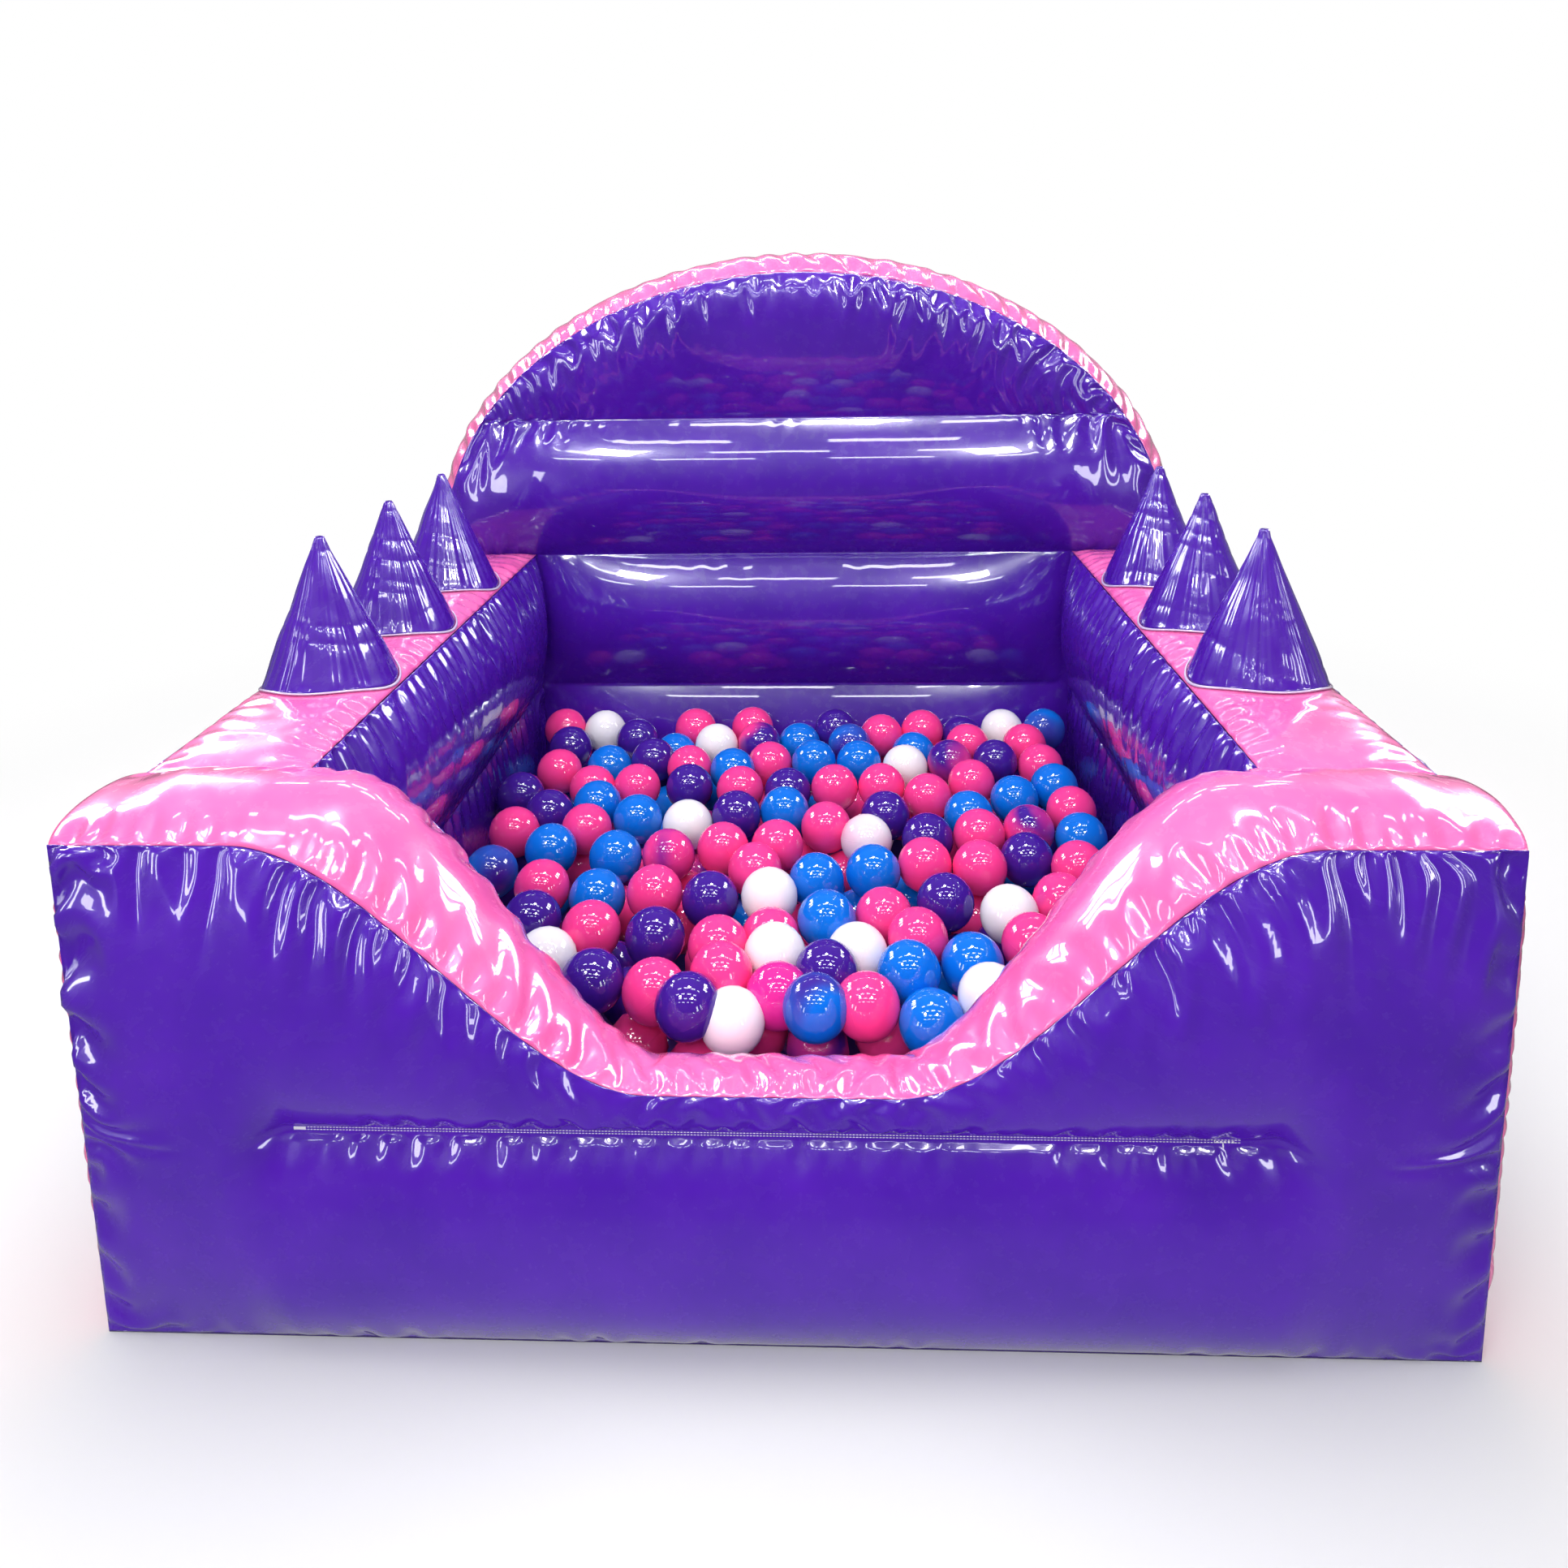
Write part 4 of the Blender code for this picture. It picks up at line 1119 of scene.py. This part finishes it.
def sew(name, paths, pitch=stitch_pitch, length=stitch_length, radius=thread_radius):
    """Stitches along each path of spots; a path shorter than the pitch takes one at its start."""
    values = {"Pitch": pitch, "Length": length, "Radius": radius}
    seam = grow(name, path_mesh(name, paths), *stitches_on_paths, values)
    seam.data.shade_smooth()
    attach(seam, "pit")


def on_front(x, z):
    """A spot where thread lies on the front panel."""
    column = int(np.argmin(np.abs(front_surface[front_rows // 2, :, 0] - x)))
    y = np.interp(z, front_surface[:, column, 2], front_surface[:, column, 1])
    return (x, y - 0.6 * thread_radius, z)


thread_step = 0.002


def thread_row(start, end, offset):
    """A level path of thread, this many half gaps above the middle of the seam."""
    z = front_seam_height + offset * row_half_gap
    return [on_front(x, z) for x in np.arange(start, end, thread_step)]


rows = [thread_row(stitched_from + tack_length, stitched_to, offset) for offset in (-1, 1)]
rows += [thread_row(bracket_fill_start, bracket_fill_end, share - 1) for share in (0, 0.4, 0.8)]
upright = [
    [on_front(x, front_seam_height), on_front(x, front_seam_height + thread_radius)]
    for x in (*np.arange(stitched_from, stitched_from + tack_length, tack_pitch), bracket_start)
]
tail_z = front_seam_height - row_half_gap - tail_length / 2
tail = [on_front(tail_place, tail_z), on_front(tail_place, tail_z + thread_radius)]
sew("front_seam_stitches", rows)
sew("front_seam_bar_tack", upright, tack_width, tack_width, 1.3 * thread_radius)
sew("front_seam_thread_tail", [tail], tail_length, tail_length, 2 * thread_radius)


# Base sheet: satin PVC under the whole pit, to which every wall is sewn.
base_low, base_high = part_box("base_sheet")
base_pvc = coated_pvc("base_coated_pvc", "#34186E", "#2A1260", roughness=0.4)
x, y = np.meshgrid(
    np.linspace(base_low.x, base_high.x, 61), np.linspace(base_low.y, base_high.y, 61)
)
spots = grid(x, y, 0 * x + base_high.z)
base_thick = base_high.z - base_low.z
add_sheet("purple_base_sheet", spots, base_pvc, ["base_sheet"], "base_pvc", [], thick=base_thick)


# Tie sheets: white PVC inside the walls, one behind each pinched seam, with round vents.
vent_radius = 0.030
tie_pvc = coated_pvc("white_tie_pvc", "#EBEBEE", "#E2E1E9", roughness=0.4)


def lay_tie(node, sewn_to, vents=None, rear_z=None):
    """A tie sheet across its node's box, level unless its rear edge has a height of its own."""
    low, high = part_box(node)
    rear_z = rear_z or high.z
    vents = vents or [(number * high.x / 2, (low.y + high.y) / 2) for number in (-1, 0, 1)]
    across, through = shares(120, 30)
    x, y, z = mix(low.x, high.x, across), mix(low.y, high.y, through), mix(high.z, rear_z, through)
    spots = grid(x, y, z)
    holes = [((*vent, (high.z + rear_z) / 2), vent_radius, 2) for vent in vents]
    add_sheet(f"{node}_pvc", spots, tie_pvc, [node], "tie_pvc", sewn_to, holes=holes)


sewn_to = ["front_wall_outer_panel", "front_wall_inner_panel"]
lay_tie("front_wall_tie_sheet", sewn_to, rear_z=front_seam_rear_height)
for side, label in sides:
    sewn_to = [f"{label}_wall_inner_panel", f"{label}_wall_outer_panel"]
    vents = [(side * cone_x, cone_y) for cone_y in cone_ys]
    lay_tie(f"{label}_wall_tie_sheet", sewn_to, vents)
for label in ("low", "middle", "high"):
    sewn_to = ["back_wall_front_panel", "back_wall_rear_panel"]
    lay_tie(f"back_wall_tie_sheet_{label}", sewn_to)


# Blower inlet: a short round sleeve of the same purple sheet with a hem turned back at its mouth,
# and the patch round it, sewn to the rear panel with two rings of stitches.
hem_share, hem_thick = 0.80, 0.0009
patch_inner, patch_outer = inlet_radius + 0.0009, inlet_radius + 0.0306
share_turn, run = np.meshgrid(np.linspace(1, 0, 145), np.linspace(0, 1, 61))
turn = 2 * math.pi * share_turn
dents = ripple(5 + 1.6 * np.cos(turn) + 2 * run, 5 + 1.6 * np.sin(turn), 951)
slack = smooth(0.45, 0.7, run) * (0.0016 * dents)
radius = inlet_radius - hem_thick * (1 - smooth(hem_share, hem_share + 0.01, run)) + slack
spots = grid(
    inlet_x + radius * np.cos(turn),
    mix(inlet_low.y, inlet_high.y, run),
    inlet_z + radius * np.sin(turn),
)
sewn_to = ["back_wall_rear_panel"]
add_sheet(
    "purple_inlet_sleeve", spots, purple_pvc, ["blower_inlet_sleeve"], "purple_pvc", sewn_to
)


def round_inlet(reach, turn, lift):
    """Spots round the inlet, over the lowest roll of the rear panel before its wrinkles."""
    x, z = inlet_x + reach * np.cos(turn), inlet_z + reach * np.sin(turn)
    out = rear_swell * swell((z - base_top) / (roll_height - base_top))
    return grid(x, rear_y + lift + out * (1 - np.abs(x / half_width) ** 6), z)


share_turn, out = shares(144, 12)
reach = mix(patch_inner, patch_outer, out)
spots = round_inlet(reach, 2 * math.pi * share_turn, 2 * sheet_thick)
add_sheet("purple_inlet_patch", spots, purple_pvc, ["blower_inlet_patch"], "purple_pvc", sewn_to)
turn = np.linspace(0, 2 * math.pi, 241)
sew("inlet_patch_stitches", [
    round_inlet(patch_outer - inset, turn, 2 * sheet_thick + thread_radius / 2)
    for inset in (0.004, 0.0069)
])


# Air release zip: a woven tape sewn along both edges, rows of metal teeth, and the end stops,
# slider and pull, which are the CAD nodes with a cast zinc finish.
tape_low, tape_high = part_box("zip_tape")
teeth_low, teeth_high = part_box("zip_teeth")
tooth_pitch, tooth_width, tooth_overlap = 0.0024, 0.0014, 1.3
tape_drop = 0.0004


def woven_tape():
    """Woven polyester zip tape: dark purple, in a fine herringbone."""
    thread_pitch = 0.0008
    material, tree, shader = new_material("woven_zip_tape")
    metres = add_node(tree, "ShaderNodeUVMap", uv_map="cloth")[0]
    slants = []
    for direction in ("DIAGONAL", "Y"):
        wave = add_node(tree, "ShaderNodeTexWave", {
            "Vector": metres, "Scale": 1 / (math.pi * thread_pitch), "Distortion": 0.8,
        }, bands_direction=direction)
        slants.append(wave["Fac"])
    weave = add_node(tree, "ShaderNodeMath", {0: slants[0], 1: slants[1]}, operation="MULTIPLY")
    shade_by(tree, shader, weave[0], ("#1C0F40", "#33206B"), (0.0002, 0.8), {
        "Roughness": 0.8, "Sheen Weight": 0.2,
    })
    return material


def cast_zinc():
    """Die-cast zinc: satin and faintly pitted, with brighter places where it is rubbed."""
    pit_size = 0.0015
    material, tree, shader = new_material("cast_zinc")
    metres = add_node(tree, "ShaderNodeTexCoord")["Object"]
    pits = add_node(tree, "ShaderNodeTexNoise", {
        "Vector": metres, "Scale": 1 / pit_size, "Detail": 4.0,
    })
    rub = add_node(tree, "ShaderNodeMapRange", {
        "Value": pits[0], "To Min": 0.42, "To Max": 0.22,
    })
    shade_by(tree, shader, pits[0], ("#8D9096", "#C4C6CB"), (0.0001, 0.4), {
        "Roughness": rub[0], "Metallic": 1,
    })
    return material


def on_tape(x, share):
    """Spots on the tape, a share of the way up it."""
    drop = tape_drop * (2 * share - 1) ** 2
    return grid(x, tape_high.y - drop + 0 * x, mix(tape_low.z, tape_high.z, share) + 0 * x)


share_x, up = np.meshgrid(np.linspace(1, 0, 121), np.linspace(0, 1, 17))
spots = on_tape(mix(tape_low.x, tape_high.x, share_x), up)
tape_thick = tape_high.y - tape_low.y - tape_drop
add_sheet(
    "woven_zip_tape", spots, woven_tape(), ["zip_tape"], "zip_cloth", sewn_to, thick=tape_thick
)
x = np.arange(tape_low.x + stitch_pitch, tape_high.x, thread_step)
sew("zip_tape_stitches", [on_tape(x, share) for share in (0.08, 0.92)])


def tooth_tree(material):
    """Geometry nodes that set a row of teeth along X, the flat end of each outwards."""
    tree, inputs, given = start_tree("teeth_in_a_row", {
        "Count": "Int", "Pitch": "Float", "Tooth": "Vector",
    })
    step = add_node(tree, "ShaderNodeCombineXYZ", {"X": given["Pitch"]})
    line = add_node(tree, "GeometryNodeMeshLine", {
        "Count": given["Count"], "Offset": step[0],
    })
    post = add_node(tree, "GeometryNodeMeshCylinder", {"Vertices": 10, "Radius": 0.5, "Depth": 1})
    tooth = add_node(tree, "GeometryNodeTransform", {
        "Geometry": post["Mesh"],
        "Rotation": (math.pi / 2, 0, 0),
        "Scale": given["Tooth"],
    })
    row = add_node(tree, "GeometryNodeInstanceOnPoints", {
        "Points": line["Mesh"], "Instance": tooth["Geometry"],
    })
    rows = add_node(tree, "GeometryNodeInstanceOnPoints", {
        "Points": given["Points"], "Instance": row["Instances"],
    })
    end_tree(tree, rows["Instances"], material)
    return tree, inputs


zinc = cast_zinc()
reach_z = (teeth_high.z - teeth_low.z) / 2
tooth_size = Vector((tooth_width, tooth_overlap * reach_z, teeth_high.y - teeth_low.y))
starts = []
for side in (-1, 1):
    start_x = teeth_low.x + tooth_pitch / 2 + (side + 1) / 4 * tooth_pitch
    side_z = (teeth_low.z + teeth_high.z) / 2 + side * (reach_z - tooth_size.y / 2)
    starts.append([(start_x, (teeth_low.y + teeth_high.y) / 2, side_z)])
teeth = grow("metal_zip_teeth", path_mesh("metal_zip_teeth", starts), *tooth_tree(zinc), {
    "Count": int((teeth_high.x - teeth_low.x) / tooth_pitch) - 1,
    "Pitch": tooth_pitch,
    "Tooth": tooth_size,
})
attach(teeth, "pit")
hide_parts("zip_teeth")
for name in ("zip_end_stop_left", "zip_end_stop_right", "zip_slider", "zip_pull"):
    cast = frame["nodes"][name].data
    cast.materials.clear()
    cast.materials.append(zinc)


# Play balls: blow-moulded polyethylene, 85 mm across, some of them marbled in two colours. The
# places of the top ones are where the photograph shows a ball of that colour.
ball_diameter = 0.085
ball_radius = ball_diameter / 2
same_place, top_room, lower_room = 0.55, 0.93, 0.94
side_gap, front_gap, back_gap = 0.016, 0.024, 0.054
layer_drop = 0.060
ball_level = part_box("ball_01")[0].z + ball_radius
loose_names = sorted(name for name in frame["nodes"] if name.startswith("ball_"))
ball_colours = {
    "pink": "#FF4294",
    "magenta": "#E22F9A",
    "blue": "#0A72E0",
    "violet": "#411C92",
    "white": "#F7F3F8",
    "rose": "#F9A8CC",
}
ball_pixels = {
    ("pink", "pink"): [
        (690, 955), (858, 903), (949, 944), (1281, 944), (735, 975), (781, 975), (911, 975),
        (1028, 975), (1084, 975), (1143, 985), (1197, 970), (1018, 1015), (1320, 1005),
        (635, 1027), (723, 1027), (891, 1050), (956, 1050), (1139, 1072), (1204, 1075),
        (1206, 1030), (1325, 1075), (668, 1100), (807, 1105), (938, 1090), (1091, 1130),
        (726, 1155), (886, 1158), (1127, 1170), (1272, 1170), (944, 1175), (807, 1215),
        (884, 1218), (1067, 1262),
    ],
    ("blue", "blue"): [
        (752, 940), (903, 950), (1003, 944), (1057, 944), (1250, 988), (1299, 975), (729, 995),
        (786, 1015), (963, 1008), (1195, 1010), (1006, 1080), (1079, 1080), (1330, 1035),
        (738, 1103), (763, 1062), (1006, 1143), (1120, 1213), (1140, 1265), (679, 1053),
    ],
    ("violet", "violet"): [
        (803, 944), (1226, 944), (850, 975), (973, 975), (668, 995), (909, 1010), (1091, 1005),
        (1142, 1030), (876, 1098), (1165, 1118), (656, 1140), (807, 1160), (733, 1215),
        (1038, 1212), (825, 1262), (1269, 1060),
    ],
    ("white", "white"): [
        (1115, 940), (848, 1016), (944, 1120), (1242, 1118), (1056, 1167), (972, 1190),
        (675, 1188), (903, 1265), (1210, 1238),
    ],
    ("violet", "pink"): [(1170, 944), (820, 1060), (1306, 1115), (1266, 1030)],
    ("blue", "violet"): [(605, 1075), (1197, 1175), (983, 1268)],
    ("rose", "white"): [(1065, 1037)],
    ("magenta", "pink"): [(959, 1220)],
}

choices = {
    ("pink", "pink"): 0.36,
    ("blue", "blue"): 0.22,
    ("violet", "violet"): 0.16,
    ("white", "white"): 0.08,
    ("violet", "pink"): 0.09,
    ("blue", "violet"): 0.09,
}
places, pairs = [], []
loose_places = [np.array((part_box(name)[0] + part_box(name)[1]) / 2) for name in loose_names]
slot_of = {row["node"]: row["material_slot"] for row in frame["record"]["subparts"]}
loose_pairs = [(slot_of[name].replace("ball_", ""),) * 2 for name in loose_names]
for pair, pixels in ball_pixels.items():
    for pixel in pixels:
        spot = np.array(seen_at(pixel, ball_level))
        nearest = min(np.linalg.norm(spot - other) for other in loose_places)
        if nearest > same_place * ball_diameter:
            places.append(spot)
            pairs.append(pair)
pool_low = np.array((-pit_half + side_gap + ball_radius, pit_front_y + front_gap + ball_radius))
pool_high = np.array((pit_half - side_gap - ball_radius, back_y - back_gap - ball_radius))
draw = np.random.default_rng(42)


def drawn_pair():
    """The two colours of one more ball."""
    return list(choices)[int(draw.choice(len(choices), p=list(choices.values())))]


# The rest of the top layer goes where there is room for a ball, and a lower layer shows between.
top_places, lower_places = loose_places + places, []
low_level = ball_level - layer_drop
for layer, tries, room, level in (
    (top_places, 6000, top_room, ball_level),
    (lower_places, 9000, lower_room, low_level),
):
    for attempt in range(tries):
        spot = draw.uniform(pool_low, pool_high)
        if all(np.hypot(*(spot - other[:2])) > room * ball_diameter for other in layer):
            layer.append(np.array((*spot, level)))
            pairs.append(drawn_pair())
spots = np.array(top_places + lower_places)
top_count, loose_count = len(top_places), len(loose_places)
home = spots.copy()
free = np.ones(len(spots))
free[:loose_count] = 0
push_rounds, push_share, home_share = 160, 0.9, 0.02
for push_round in range(push_rounds):
    gaps = spots[:, None] - spots[None]
    distance = np.linalg.norm(gaps, axis=2) + np.eye(len(spots))
    push = np.clip(ball_diameter - distance, 0, None) / distance
    share = free[:, None] / np.maximum(free[:, None] + free[None], 1)
    spots += push_share * (gaps * (push * share)[..., None]).sum(axis=1) * free[:, None] / 1.6
    spots[:, :2] += home_share * (home - spots)[:, :2] * free[:, None]
    spots[:loose_count] = home[:loose_count]
    spots[loose_count:, :2] = np.clip(spots[loose_count:, :2], pool_low, pool_high)
    spots[loose_count:top_count, 2] = np.clip(
        spots[loose_count:top_count, 2], ball_level - 0.012, ball_level + 0.008
    )
    spots[top_count:, 2] = np.clip(spots[top_count:, 2], low_level - 0.03, low_level + 0.002)


def moulded_polyethylene():
    """Low-density polyethylene from a blow mould: glossy, a little waxy, marbled where two melts
    ran together, with the mould's fine parting line round the ball."""
    material, tree, shader = new_material("moulded_polyethylene")
    spot, shift, first, second = (
        add_node(tree, "ShaderNodeAttribute", attribute_name=attribute)
        for attribute in ("ball_spot", "ball_shift", "first_colour", "second_colour")
    )
    spot = spot["Vector"]
    melt = add_node(tree, "ShaderNodeVectorMath", {0: spot, 1: shift["Vector"]})
    swirl = add_node(tree, "ShaderNodeTexNoise", {
        "Vector": melt[0], "Scale": 9.0, "Detail": 1.5, "Distortion": 0.6,
    })
    ramp = add_node(tree, "ShaderNodeMapRange", {
        "Value": swirl[0], "From Min": 0.38, "From Max": 0.62,
    })
    tone = add_node(tree, "ShaderNodeMix", {
        0: ramp[0], 6: first["Color"], 7: second["Color"],
    }, data_type="RGBA")
    middle = add_node(tree, "ShaderNodeSeparateXYZ", {0: spot})
    off = add_node(tree, "ShaderNodeMath", {0: middle["Z"]}, operation="ABSOLUTE")
    line = add_node(tree, "ShaderNodeMapRange", {
        "Value": off[0], "From Min": 0.0, "From Max": 0.0006, "To Min": 1.0, "To Max": 0.0,
    })
    parting = add_node(tree, "ShaderNodeBump", {
        "Height": line[0], "Distance": 0.0003, "Strength": 0.6,
    })
    pores = add_node(tree, "ShaderNodeTexNoise", {"Vector": spot, "Scale": 60.0, "Detail": 2.0})
    skin = add_node(tree, "ShaderNodeBump", {
        "Height": pores[0],
        "Distance": 0.0001,
        "Strength": 0.12,
        "Normal": parting[0],
    })
    give(tree, shader, {
        "Base Color": tone[2],
        "Normal": skin[0],
        "Roughness": 0.045,
        "IOR": 1.51,
    })
    return material


def ball_tree(material):
    """Geometry nodes that set a ball on each point, turned its own way."""
    tree, inputs, given = start_tree("balls_on_points", {"Radius": "Float", "Fineness": "Int"})
    ball = add_node(tree, "GeometryNodeMeshIcoSphere", {
        "Radius": given["Radius"], "Subdivisions": given["Fineness"],
    })
    spot = add_node(tree, "GeometryNodeStoreNamedAttribute", {
        "Geometry": ball["Mesh"],
        "Name": "ball_spot",
        "Value": add_node(tree, "GeometryNodeInputPosition")[0],
    }, data_type="FLOAT_VECTOR")
    turn = add_node(tree, "GeometryNodeInputNamedAttribute", {
        "Name": "ball_turn",
    }, data_type="FLOAT_VECTOR")
    each = add_node(tree, "GeometryNodeInstanceOnPoints", {
        "Points": given["Points"],
        "Instance": spot["Geometry"],
        "Rotation": turn["Attribute"],
    })
    end_tree(tree, each["Instances"], material)
    return tree, inputs


balls_on_points = ball_tree(moulded_polyethylene())


def add_balls(name, centres, colours, fineness, seed):
    """Balls at these centres as one plain mesh."""
    mesh = path_mesh(f"{name}_points", [[centre] for centre in centres])
    draw = np.random.default_rng(seed)
    count = len(centres)
    for attribute, values in (
        ("ball_turn", draw.uniform(0, 2 * math.pi, (count, 3))),
        ("ball_shift", draw.uniform(-1, 1, (count, 3))),
    ):
        layer = mesh.attributes.new(attribute, "FLOAT_VECTOR", "POINT")
        layer.data.foreach_set("vector", values.reshape(-1).astype(np.float32))
    for part, attribute in enumerate(("first_colour", "second_colour")):
        layer = mesh.attributes.new(attribute, "FLOAT_COLOR", "POINT")
        tones = [linear_colour(ball_colours[pair[part]]) for pair in colours]
        layer.data.foreach_set("color", np.array(tones, np.float32).reshape(-1))
    balls = grow(name, mesh, *balls_on_points, {"Radius": ball_radius, "Fineness": fineness})
    balls.data.shade_smooth()
    return balls


top_spots, top_pairs = spots[loose_count:top_count], pairs[:top_count - loose_count]
lower_spots, lower_pairs = spots[top_count:], pairs[top_count - loose_count:]
top_balls = add_balls("settled_top_balls", top_spots, top_pairs, fineness=3, seed=5)
lower_balls = add_balls("settled_lower_balls", lower_spots, lower_pairs, fineness=2, seed=6)
for piece in (top_balls, lower_balls):
    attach(piece, "pit")
    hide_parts("settled_ball_bed")
for number, name in enumerate(loose_names):
    ball = add_balls(
        f"loose_{name}", [loose_places[number]], [loose_pairs[number]], fineness=4, seed=60 + number
    )
    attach(ball, name)
    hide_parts(name)
